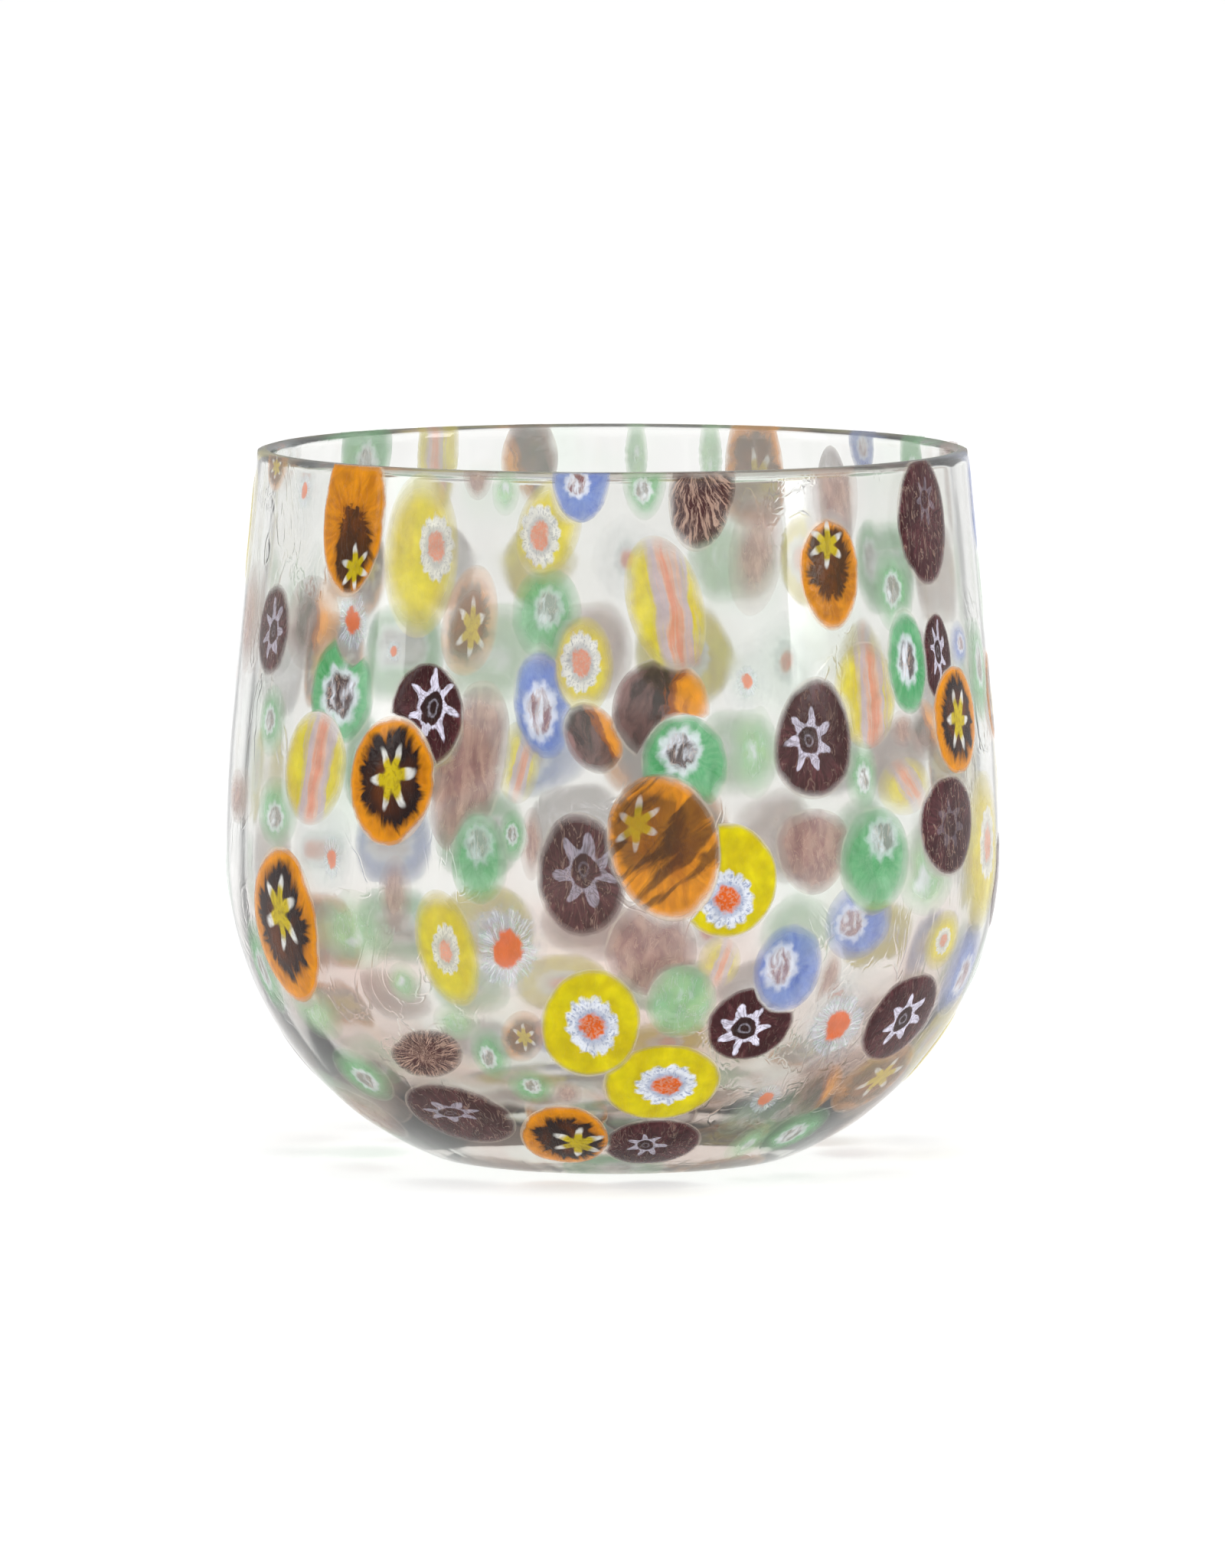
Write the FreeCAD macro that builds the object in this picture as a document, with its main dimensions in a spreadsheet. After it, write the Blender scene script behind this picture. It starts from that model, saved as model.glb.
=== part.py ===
"""Blown glass bowl with slices of patterned cane (murrine) fused flush into its outer wall.

The bowl stands on z = 0 with its axis on Z. Azimuth 0 is the side that faces -Y, and azimuths grow
towards +X. A slice's place on the wall is given by its azimuth in degrees and its rise, the share in
percent of the wall's curved length from the foot (0) to the rim (100), so that the pattern stays on
the wall when the bowl's sizes change, as it does when a gather is blown larger or smaller.
"""
import FreeCAD, Part
import Sketcher
import math
import os

SIZES = (
    ("widest_radius", 60.0, "outer radius at the widest line"),
    ("widest_height", 47.5, "height of the widest line"),
    ("foot_radius", 27.5, "radius where the lower wall's curve would meet the ground"),
    ("shoulder_arc_radius", 222.0, "section radius just above the widest line"),
    ("wall_lean", 5.5, "inward lean of the straight upper wall in degrees"),
    ("bowl_height", 110.0, "foot to rim"),
    ("wall_thickness", 2.2, "wall from the widest line up to the rim"),
    ("floor_thickness", 5.0, "glass under the inside floor"),
    ("foot_round", 5.0, "section radius where the wall turns under to the foot"),
    ("dent_radius", 15.0, "radius of the shallow hollow under the foot"),
    ("dent_depth", 0.8, "depth of that hollow"),
    ("slice_depth", 1.0, "how deep a slice is pressed into the wall"),
    ("slice_stretch", 1.0, "how far the slices spread as the bowl is blown"),
    ("slice_seam", 0.3, "clear glass left between two slices that meet"),
    ("slice_reach", 10.0, "length of the straight prism that a slice is cut from"),
)

# Slices that stand in a node of their own, from the top of the pile down: where two meet, the one
# that comes first keeps its outline. Each line holds the azimuth and rise of the slice's middle, its
# width in degrees, its length in percent of the wall, the share of that length below its widest line,
# and its lean in degrees, positive when its top leans to the right.
NAMED_SLICES = (
    ("amber_star", -45.2, 94.0, 13.4, 20.0, 0.50, 3.0),
    ("amber_star", 35.8, 87.0, 10.8, 13.2, 0.55, 0.0),
    ("amber_star", -34.6, 61.8, 14.6, 15.6, 0.50, 8.0),
    ("amber_star", 64.0, 67.6, 14.4, 13.0, 0.50, 8.0),
    ("amber_star", -58.7, 42.3, 18.0, 19.6, 0.50, 8.0),
    ("amber_star", 7.4, 54.3, 15.6, 17.5, 0.55, -15.0),
    ("amber_star", -10.7, 11.7, 18.8, 14.0, 0.50, 15.0),
    ("aubergine_star", 58.4, 92.6, 14.2, 15.6, 0.50, 0.0),
    ("aubergine_star", -65.0, 78.7, 10.8, 11.0, 0.50, 10.0),
    ("aubergine_star", -28.9, 70.0, 12.2, 12.6, 0.50, 0.0),
    ("aubergine_star", 31.1, 67.2, 13.0, 14.4, 0.38, 8.0),
    ("aubergine_star", -4.5, 51.1, 12.2, 14.6, 0.45, -5.0),
    ("aubergine_star", 59.5, 54.8, 15.6, 12.2, 0.55, 0.0),
    ("blue_eye", 27.3, 38.7, 11.0, 11.0, 0.50, 0.0),
    ("aubergine_star", 22.4, 31.3, 14.6, 10.2, 0.50, 0.0),
    ("aubergine_star", 9.1, 10.2, 22.0, 11.4, 0.50, 0.0),
    ("aubergine_star", 54.6, 30.2, 18.6, 12.3, 0.50, 0.0),
    ("aubergine_star", -32.5, 15.6, 24.0, 11.6, 0.50, 0.0),
    ("green_eye", 51.0, 75.6, 9.2, 12.6, 0.45, 0.0),
    ("aubergine_star", 59.4, 75.5, 8.2, 11.2, 0.50, 0.0),
    ("clear_flower", -43.2, 81.4, 8.0, 11.0, 0.50, 0.0),
    ("yellow_stripe", 8.1, 84.0, 11.0, 16.0, 0.50, -14.0),
    ("yellow_stripe", 41.4, 72.0, 11.4, 12.2, 0.50, 0.0),
    ("yellow_stripe", -50.3, 62.6, 13.4, 13.6, 0.50, 12.0),
    ("green_eye", -45.3, 72.4, 13.0, 13.0, 0.45, 0.0),
    ("yellow_flower", -3.5, 31.6, 15.2, 15.2, 0.50, 10.0),
    ("yellow_flower", 8.8, 22.4, 20.6, 12.4, 0.50, 0.0),
    ("yellow_flower", -31.3, 89.5, 12.0, 18.0, 0.50, 0.0),
    ("blue_eye", -5.0, 99.6, 8.8, 11.0, 0.50, 0.0),
    ("yellow_flower", -10.0, 93.2, 8.8, 10.8, 0.50, 15.0),
    ("yellow_flower", 16.8, 50.2, 15.2, 13.8, 0.50, 0.0),
    ("yellow_flower", -25.3, 41.3, 9.0, 13.8, 0.50, -10.0),
    ("green_eye", 10.7, 64.6, 12.4, 11.6, 0.50, -10.0),
    ("amber_stripe", 7.2, 71.2, 14.0, 12.4, 0.50, 15.0),
    ("amber_stripe", -2.9, 67.8, 7.6, 8.8, 0.50, -30.0),
    ("yellow_flower", -4.3, 76.6, 7.8, 10.6, 0.50, 0.0),
    ("blue_eye", -10.4, 71.8, 8.4, 12.6, 0.50, -8.0),
    ("green_eye", -10.1, 82.8, 9.6, 10.4, 0.50, 0.0),
    ("green_eye", -19.7, 53.0, 7.8, 10.4, 0.40, 0.0),
    ("green_eye", 42.0, 51.7, 13.0, 12.2, 0.50, 0.0),
    ("blue_eye", 39.2, 44.2, 11.6, 9.0, 0.50, -12.0),
    ("clear_flower", -17.0, 42.3, 14.0, 13.2, 0.50, 0.0),
    ("clear_flower", 39.0, 30.0, 15.0, 12.0, 0.50, 0.0),
    ("jade", 10.6, 34.8, 10.6, 9.6, 0.50, 0.0),
    ("mauve", 14.3, 98.2, 10.4, 15.6, 0.50, 10.0),
    ("mauve", -21.7, 64.0, 11.2, 20.4, 0.50, 12.0),
    ("mauve", 5.6, 41.9, 13.0, 11.4, 0.45, 0.0),
    ("mauve", 30.6, 53.3, 11.8, 10.0, 0.65, 0.0),
    ("mauve", -33.0, 26.4, 15.5, 7.0, 0.50, -20.0),
)

# Smaller and thinner slices of the front, which lie between and under the ones above, and the ones
# that show on the far wall over the rim. They share one node for each kind of cane.
MINOR_SLICES = (
    ("clear_flower", -20.0, 62.5, 6.6, 8.0, 0.50, 0.0),
    ("green_eye", 48.9, 84.3, 7.4, 9.0, 0.45, -10.0),
    ("jade", 53.6, 49.7, 12.6, 10.0, 0.50, 0.0),
    ("clear_flower", -45.3, 51.9, 7.2, 10.8, 0.45, 0.0),
    ("clear_flower", 29.3, 18.6, 13.5, 10.4, 0.50, 0.0),
    ("mauve", 37.6, 97.2, 8.0, 13.0, 0.50, 0.0),
    ("yellow_flower", 73.5, 50.3, 15.6, 17.4, 0.50, 0.0),
    ("amber_star", 58.0, 20.2, 20.0, 10.0, 0.50, 0.0),
    ("amber_star", -69.5, 99.5, 8.0, 7.0, 0.50, 0.0),
    ("amber_star", -22.4, 81.8, 7.6, 11.5, 0.40, 8.0),
    ("amber_star", -14.6, 29.8, 6.0, 6.6, 0.50, 20.0),
    ("amber_stripe", -53.6, 80.2, 12.0, 10.0, 0.50, 10.0),
    ("amber_stripe", 54.0, 67.0, 6.6, 6.4, 0.50, 0.0),
    ("amber_stripe", 41.5, 19.6, 9.0, 8.0, 0.50, 0.0),
    ("yellow_stripe", -14.0, 64.6, 5.6, 8.4, 0.50, 0.0),
    ("yellow_stripe", 48.6, 60.4, 10.0, 6.0, 0.50, 0.0),
    ("yellow_stripe", 16.0, 40.0, 5.6, 5.6, 0.50, 0.0),
    ("yellow_flower", 59.6, 40.4, 8.6, 6.6, 0.50, 0.0),
    ("green_eye", 5.0, 99.8, 6.0, 10.0, 0.50, 0.0),
    ("green_eye", 76.0, 73.0, 9.6, 11.0, 0.50, 0.0),
    ("green_eye", -62.6, 67.6, 7.4, 7.6, 0.50, 0.0),
    ("green_eye", -59.6, 56.4, 10.0, 7.6, 0.50, 0.0),
    ("green_eye", -14.6, 55.8, 3.6, 5.4, 0.50, 0.0),
    ("green_eye", 39.6, 62.4, 5.4, 7.4, 0.50, 0.0),
    ("green_eye", -20.6, 27.0, 6.0, 6.8, 0.50, 0.0),
    ("green_eye", -14.6, 21.9, 7.4, 5.0, 0.50, 0.0),
    ("green_eye", 45.0, 11.0, 15.0, 9.0, 0.50, 0.0),
    ("green_eye", -52.0, 21.6, 13.0, 7.6, 0.50, 0.0),
    ("green_eye", -70.0, 36.0, 9.0, 11.0, 0.50, 0.0),
    ("blue_eye", 67.0, 76.8, 5.6, 5.0, 0.50, 0.0),
    ("blue_eye", 71.0, 35.5, 13.0, 11.0, 0.50, 0.0),
    ("clear_flower", -57.4, 95.6, 7.4, 9.0, 0.50, 0.0),
    ("clear_flower", 20.6, 74.4, 7.0, 8.0, 0.50, 0.0),
    ("clear_flower", -35.4, 77.6, 5.6, 5.6, 0.50, 0.0),
    ("jade", -42.0, 43.0, 13.0, 8.6, 0.50, 0.0),
    ("jade", 21.2, 66.0, 6.4, 10.0, 0.50, 0.0),
    ("jade", -33.4, 36.6, 5.0, 4.6, 0.50, 0.0),
    ("jade", -25.4, 31.6, 7.0, 4.6, 0.50, 0.0),
    ("jade", -17.0, 97.6, 3.8, 5.0, 0.50, 0.0),
    ("jade", -56.0, 31.0, 12.0, 7.0, 0.50, 0.0),
    ("jade", 33.6, 9.6, 9.0, 9.0, 0.50, 0.0),
    ("mauve", 22.8, 90.0, 7.6, 13.0, 0.50, 10.0),
    ("mauve", -11.8, 54.8, 2.8, 7.6, 0.50, 0.0),
    ("mauve", 48.6, 67.4, 4.6, 4.0, 0.50, 0.0),
    ("mauve", 34.9, 36.6, 3.6, 8.0, 0.50, 0.0),
    ("mauve", -76.0, 57.3, 9.0, 6.0, 0.50, 0.0),
    ("mauve", -77.5, 79.5, 9.0, 12.0, 0.50, 0.0),
    ("mauve", -33.4, 48.0, 5.0, 8.0, 0.50, 0.0),
    ("mauve", -8.2, 21.0, 4.6, 3.8, 0.50, 0.0),
    ("mauve", -21.7, 100.0, 4.4, 6.4, 0.50, 0.0),
    ("mauve", -66.0, 13.0, 22.0, 9.0, 0.50, 0.0),
    ("green_eye", 226.0, 97.5, 11.4, 13.0, 0.50, 0.0),
    ("yellow_stripe", 210.6, 97.0, 7.4, 15.0, 0.50, 0.0),
    ("amber_stripe", 194.0, 95.5, 9.2, 10.0, 0.50, 0.0),
    ("jade", 176.0, 96.0, 3.4, 9.0, 0.50, 0.0),
    ("amber_star", 155.6, 94.6, 10.0, 15.0, 0.45, 0.0),
    ("jade", 163.4, 96.0, 3.6, 10.0, 0.50, 0.0),
    ("aubergine_star", 140.6, 90.5, 7.0, 14.0, 0.40, 0.0),
    ("blue_eye", 133.4, 98.6, 5.6, 8.0, 0.50, 0.0),
    ("green_eye", 119.6, 96.0, 7.0, 12.0, 0.50, 0.0),
    ("clear_flower", 249.0, 96.5, 8.0, 10.0, 0.50, 0.0),
    ("mauve", 104.0, 94.0, 9.0, 13.0, 0.50, 0.0),
    ("yellow_flower", 268.0, 90.0, 10.0, 14.0, 0.50, 0.0),
    ("blue_eye", 89.0, 93.0, 9.0, 12.0, 0.50, 0.0),
)

# Rows of slices round the back: the row's rise, its first azimuth, its step and the canes in order.
BACK_ROWS = (
    (82.0, 96.0, 16.0, ("jade", "mauve", "green_eye", "yellow_flower", "jade", "clear_flower",
                        "yellow_flower", "aubergine_star", "amber_star", "clear_flower", "jade")),
    (70.0, 88.0, 16.0, ("amber_star", "green_eye", "aubergine_star", "yellow_stripe", "clear_flower",
                        "yellow_flower", "mauve", "jade", "green_eye", "amber_star", "aubergine_star",
                        "clear_flower")),
    (58.0, 96.0, 16.0, ("yellow_stripe", "amber_star", "mauve", "aubergine_star", "jade",
                        "amber_stripe", "blue_eye", "amber_star", "green_eye", "mauve",
                        "yellow_flower")),
    (46.0, 88.0, 16.0, ("aubergine_star", "yellow_flower", "aubergine_star", "green_eye", "mauve",
                        "amber_star", "aubergine_star", "green_eye", "blue_eye", "clear_flower",
                        "mauve", "green_eye")),
    (34.0, 94.0, 18.0, ("green_eye", "blue_eye", "yellow_flower", "jade", "clear_flower",
                        "mauve", "yellow_flower", "green_eye", "amber_star", "blue_eye")),
    (22.0, 88.0, 20.0, ("yellow_flower", "aubergine_star", "clear_flower", "aubergine_star",
                        "green_eye", "yellow_flower", "jade", "mauve", "amber_star",
                        "aubergine_star")),
    (10.0, 92.0, 25.0, ("mauve", "amber_star", "green_eye", "yellow_flower", "blue_eye",
                        "aubergine_star", "clear_flower", "jade")),
)
BACK_WIDTH_SHARE = 0.88
BACK_LENGTH = 11.4
BACK_WOBBLE = 0.08

# Slices under the foot: one in the middle and a ring round it.
FOOT_KINDS = ("green_eye", "amber_star", "jade", "aubergine_star", "yellow_flower", "mauve")
FOOT_MIDDLE_KIND = "clear_flower"
FOOT_RING_SHARE = 0.62
FOOT_SLICE_SHARE = 0.50

CLEAR_OF_RIM = 2.0
CIRCLE_END = {"start": 1, "end": 2, "centre": 3}
VERTICAL_AXIS = -2
HORIZONTAL_AXIS = -1

doc = FreeCAD.newDocument("murrine_bowl")
sheet = doc.addObject("Spreadsheet::Sheet", "Sizes")


def fill_sheet():
    """Each driving size is one row: what it is, its number and its note."""
    for row, (alias, number, note) in enumerate(SIZES, start=1):
        sheet.set("A%d" % row, alias)
        sheet.set("B%d" % row, str(number))
        sheet.set("C%d" % row, note)
        sheet.setAlias("B%d" % row, alias)
    sheet.recompute()


def size(alias):
    """The number that the sheet holds under this name."""
    return float(sheet.get(alias))


class Section:
    """Half a section, drawn in a body's XZ plane and turned once round the Z axis."""

    def __init__(self, name):
        self.body = doc.addObject("PartDesign::Body", name)
        self.sketch = self.body.newObject("Sketcher::SketchObject", name + "_section")
        planes = [item for item in self.body.Origin.OriginFeatures if item.Role == "XZ_Plane"]
        self.sketch.AttachmentSupport = [(planes[0], "")]
        self.sketch.MapMode = "FlatFace"

    def line(self, start, end):
        """A straight stretch from one (radius, height) point to another."""
        segment = Part.LineSegment(FreeCAD.Vector(*start, 0), FreeCAD.Vector(*end, 0))
        return self.sketch.addGeometry(segment, False)

    def arc(self, centre, start, end):
        """A round stretch about a centre, anticlockwise from start to end."""
        radius = math.dist(centre, start)
        first = math.atan2(start[1] - centre[1], start[0] - centre[0])
        last = math.atan2(end[1] - centre[1], end[0] - centre[0])
        circle = Part.Circle(FreeCAD.Vector(*centre, 0), FreeCAD.Vector(0, 0, 1), radius)
        return self.sketch.addGeometry(Part.ArcOfCircle(circle, first, last), False)

    def join(self, kind, first, first_end, second, second_end):
        """Ties two ends: Coincident where they only meet, Tangent where they run on smoothly."""
        ends = (first, CIRCLE_END[first_end], second, CIRCLE_END[second_end])
        self.sketch.addConstraint(Sketcher.Constraint(kind, *ends))

    def on_axis(self, item, end, axis=VERTICAL_AXIS):
        """Keeps a point on one of the sketch's axes."""
        self.sketch.addConstraint(Sketcher.Constraint("PointOnObject", item, CIRCLE_END[end], axis))

    def level(self, item):
        """Keeps a line horizontal."""
        self.sketch.addConstraint(Sketcher.Constraint("Horizontal", item))

    def bind(self, kind, target, start_value, formula):
        """Adds a dimension and ties it to a formula of the sheet's sizes."""
        constraint = Sketcher.Constraint(kind, *target, start_value)
        index = self.sketch.addConstraint(constraint)
        self.sketch.setExpression("Constraints[%d]" % index, formula)

    def place(self, item, end, radius, radius_formula, height, height_formula):
        """Sets how far a point is from the axis and from the ground."""
        point = (item, CIRCLE_END[end])
        if radius_formula:
            self.bind("DistanceX", (-1, 1) + point, radius, radius_formula)
        if height_formula:
            self.bind("DistanceY", (-1, 1) + point, height, height_formula)

    def turn(self):
        """Turns the section into a solid and returns its body."""
        turned = self.body.newObject("PartDesign::Revolution", self.body.Name + "_turned")
        turned.Profile = self.sketch
        turned.ReferenceAxis = (self.sketch, ["V_Axis"])
        turned.Angle = 360
        self.sketch.Visibility = False
        return self.body


def lower_arc():
    """Centre and radius of the wall's arc from the widest line down to the foot edge."""
    inward = size("widest_radius") - size("foot_radius")
    radius = (inward ** 2 + size("widest_height") ** 2) / (2 * inward)
    return (size("widest_radius") - radius, size("widest_height")), radius


LOWER_RADIUS = (
    "((Sizes.widest_radius - Sizes.foot_radius)^2 + Sizes.widest_height^2)"
    " / (2 * (Sizes.widest_radius - Sizes.foot_radius))"
)


def round_point(centre, radius, angle):
    """The point of a circle at an angle in radians from the outward direction."""
    return (centre[0] + radius * math.cos(angle), centre[1] + radius * math.sin(angle))


def shoulder_arc(inset):
    """Centre, radius and two ends of the arc above the widest line, at a depth inside the skin."""
    centre = (size("widest_radius") - size("shoulder_arc_radius"), size("widest_height"))
    radius = size("shoulder_arc_radius") - inset
    lean = math.radians(size("wall_lean"))
    return centre, radius, round_point(centre, radius, 0.0), round_point(centre, radius, lean)


def straight_wall_end(start, height):
    """Where the straight upper wall, which begins at the shoulder arc's end, reaches a height."""
    lean = math.radians(size("wall_lean"))
    return (start[0] - (height - start[1]) * math.tan(lean), height)


def draw_upper_wall(section, inset, inset_formula, top, top_formula):
    """Shoulder arc and straight upper wall at a depth inside the skin. Returns both items."""
    centre, radius, widest, shoulder_end = shoulder_arc(inset)
    shoulder = section.arc(centre, widest, shoulder_end)
    straight = section.line(shoulder_end, straight_wall_end(shoulder_end, top))
    section.join("Tangent", shoulder, "end", straight, "start")
    section.place(shoulder, "start", widest[0], "Sizes.widest_radius" + inset_formula,
                  widest[1], "Sizes.widest_height")
    section.bind("Radius", (shoulder,), radius, "Sizes.shoulder_arc_radius" + inset_formula)
    section.bind("Angle", (straight,), math.radians(90 + size("wall_lean")),
                 "90 deg + Sizes.wall_lean * 1 deg")
    section.place(straight, "end", None, None, top, top_formula)
    return shoulder, straight


def draw_lower_arc(section, shoulder, inset, inset_formula, low_point):
    """The arc below the widest line, running smoothly on from the shoulder arc."""
    centre, radius = lower_arc()
    lower = section.arc(centre, low_point, (centre[0] + radius - inset, centre[1]))
    section.join("Tangent", lower, "end", shoulder, "start")
    section.bind("Radius", (lower,), radius - inset, LOWER_RADIUS + inset_formula)
    return lower


def blown_blank():
    """The bowl before it is decorated: outer wall, foot, shallow hollow, inner wall and floor."""
    section = Section("bowl_blank")
    height = size("bowl_height")
    wall = size("wall_thickness")
    outer_shoulder, outer_straight = draw_upper_wall(section, 0.0, "", height, "Sizes.bowl_height")
    inner_shoulder, inner_straight = draw_upper_wall(
        section, wall, " - Sizes.wall_thickness", height, "Sizes.bowl_height")

    centre, radius = lower_arc()
    foot = size("foot_round")
    reach = math.sqrt((radius - foot) ** 2 - (centre[1] - foot) ** 2)
    foot_centre = (centre[0] + reach, foot)
    foot_angle = math.atan2(foot - centre[1], reach)
    foot_top = round_point(centre, radius, foot_angle)
    outer_lower = draw_lower_arc(section, outer_shoulder, 0.0, "", foot_top)
    foot_arc = section.arc(foot_centre, (foot_centre[0], 0.0), foot_top)
    section.join("Tangent", foot_arc, "end", outer_lower, "start")
    section.bind("Radius", (foot_arc,), foot, "Sizes.foot_round")

    dent = (size("dent_radius"), 0.0)
    ring = section.line(dent, (foot_centre[0], 0.0))
    section.join("Tangent", ring, "end", foot_arc, "start")
    section.on_axis(ring, "start", HORIZONTAL_AXIS)
    section.on_axis(ring, "end", HORIZONTAL_AXIS)
    section.place(ring, "start", dent[0], "Sizes.dent_radius", None, None)

    depth = size("dent_depth")
    dent_arc_radius = (dent[0] ** 2 + depth ** 2) / (2 * depth)
    dent_arc = section.arc((0.0, depth - dent_arc_radius), dent, (0.0, depth))
    section.join("Coincident", dent_arc, "start", ring, "start")
    section.on_axis(dent_arc, "centre")
    section.place(dent_arc, "end", None, None, depth, "Sizes.dent_depth")

    floor = size("floor_thickness")
    inner_radius = centre[1] - floor
    inner_centre = (size("widest_radius") - wall - inner_radius, centre[1])
    inner_lower = section.arc(inner_centre, (inner_centre[0], floor),
                              (inner_centre[0] + inner_radius, centre[1]))
    section.join("Tangent", inner_lower, "end", inner_shoulder, "start")
    floor_line = section.line((0.0, floor), (inner_centre[0], floor))
    section.join("Tangent", floor_line, "end", inner_lower, "start")
    section.level(floor_line)
    section.place(floor_line, "start", None, None, floor, "Sizes.floor_thickness")

    axis = section.line((0.0, floor), (0.0, depth))
    section.join("Coincident", axis, "start", floor_line, "start")
    section.join("Coincident", axis, "end", dent_arc, "end")
    section.on_axis(axis, "start")
    section.on_axis(axis, "end")

    rim = section.line(straight_wall_end(shoulder_arc(0.0)[3], height),
                       straight_wall_end(shoulder_arc(wall)[3], height))
    section.join("Coincident", rim, "start", outer_straight, "end")
    section.join("Coincident", rim, "end", inner_straight, "end")
    return section.turn()


def skin_core():
    """Everything deeper than a slice: what is left of the blank outside it is the slices' skin."""
    section = Section("skin_core")
    inset = size("slice_depth")
    top = size("bowl_height") + CLEAR_OF_RIM
    shoulder, straight = draw_upper_wall(
        section, inset, " - Sizes.slice_depth", top, "Sizes.bowl_height + %g" % CLEAR_OF_RIM)

    centre, radius = lower_arc()
    bottom = size("dent_depth") + inset
    reach = math.sqrt((radius - inset) ** 2 - (centre[1] - bottom) ** 2)
    low_point = (centre[0] + reach, bottom)
    lower = draw_lower_arc(section, shoulder, inset, " - Sizes.slice_depth", low_point)
    base = section.line((0.0, bottom), low_point)
    section.join("Coincident", base, "end", lower, "start")
    section.level(base)
    section.place(base, "start", None, None, bottom, "Sizes.dent_depth + Sizes.slice_depth")

    axis = section.line((0.0, top), (0.0, bottom))
    section.join("Coincident", axis, "end", base, "start")
    section.on_axis(axis, "start")
    section.on_axis(axis, "end")
    lid = section.line(straight_wall_end(shoulder_arc(inset)[3], top), (0.0, top))
    section.join("Coincident", lid, "start", straight, "end")
    section.join("Coincident", lid, "end", axis, "start")
    section.level(lid)
    return section.turn()


def wall_point(rise):
    """Radius, height and outward direction of the wall at a rise in percent of its curved length:
    first the lower arc, then the shoulder arc, then the straight upper wall."""
    centre, radius = lower_arc()
    foot_angle = math.asin(centre[1] / radius)
    shoulder_centre, shoulder_radius, _, shoulder_end = shoulder_arc(0.0)
    lean = math.radians(size("wall_lean"))
    straight = (size("bowl_height") - shoulder_end[1]) / math.cos(lean)
    lower_length = radius * foot_angle
    shoulder_length = shoulder_radius * lean
    along = rise / 100 * wall_length()
    if along < lower_length:
        angle = along / radius - foot_angle
        point = round_point(centre, radius, angle)
    elif along < lower_length + shoulder_length:
        angle = (along - lower_length) / shoulder_radius
        point = round_point(shoulder_centre, shoulder_radius, angle)
    else:
        angle = lean
        share = (along - lower_length - shoulder_length) / straight
        height = shoulder_end[1] + share * (size("bowl_height") - shoulder_end[1])
        point = straight_wall_end(shoulder_end, height)
    return point[0], point[1], (math.cos(angle), math.sin(angle))


def wall_length():
    """Curved length of the outer wall from the foot edge to the rim."""
    centre, radius = lower_arc()
    shoulder_end = shoulder_arc(0.0)[3]
    lean = math.radians(size("wall_lean"))
    straight = (size("bowl_height") - shoulder_end[1]) / math.cos(lean)
    return radius * math.asin(centre[1] / radius) + size("shoulder_arc_radius") * lean + straight


def surface_place(turn, radius, height, outward, lean):
    """Placement on the surface: Z looks out, Y up the wall and X along the girth, then leaned."""
    angle = math.radians(turn)
    out = FreeCAD.Vector(outward[0] * math.sin(angle), -outward[0] * math.cos(angle), outward[1])
    along = FreeCAD.Vector(math.cos(angle), math.sin(angle), 0.0)
    up = out.cross(along)
    tilt = math.radians(lean)
    across = along * math.cos(tilt) - up * math.sin(tilt)
    upward = up * math.cos(tilt) + along * math.sin(tilt)
    centre = FreeCAD.Vector(radius * math.sin(angle), -radius * math.cos(angle), height)
    return FreeCAD.Placement(centre, FreeCAD.Rotation(across, upward, out, "ZXY"))


def half_ellipse(half_width, height):
    """Half an ellipse on a level base line, standing up or, with a negative height, hanging down."""
    centre = FreeCAD.Vector(0, 0, 0)
    tip = FreeCAD.Vector(0, height, 0)
    side = FreeCAD.Vector(half_width, 0, 0)
    if abs(height) >= half_width:
        return Part.ArcOfEllipse(Part.Ellipse(tip, side, centre), -math.pi / 2, math.pi / 2)
    return Part.ArcOfEllipse(Part.Ellipse(side, tip, centre), 0, math.pi)


def egg_outline(name, width, above, below, place):
    """Face of one slice: a half ellipse above its widest line and another below."""
    arcs = [half_ellipse(width / 2, above).toShape(), half_ellipse(width / 2, -below).toShape()]
    outline = doc.addObject("Part::Feature", name)
    outline.Shape = Part.Face(Part.Wire(arcs))
    outline.Placement = place
    return outline


def prism(outline):
    """Straight prism through the wall, the same length out and in."""
    block = doc.addObject("Part::Extrusion", outline.Name + "_prism")
    block.Base = outline
    block.DirMode = "Normal"
    block.Solid = True
    block.Symmetric = True
    block.setExpression("LengthFwd", "Sizes.slice_reach")
    return block


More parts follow.
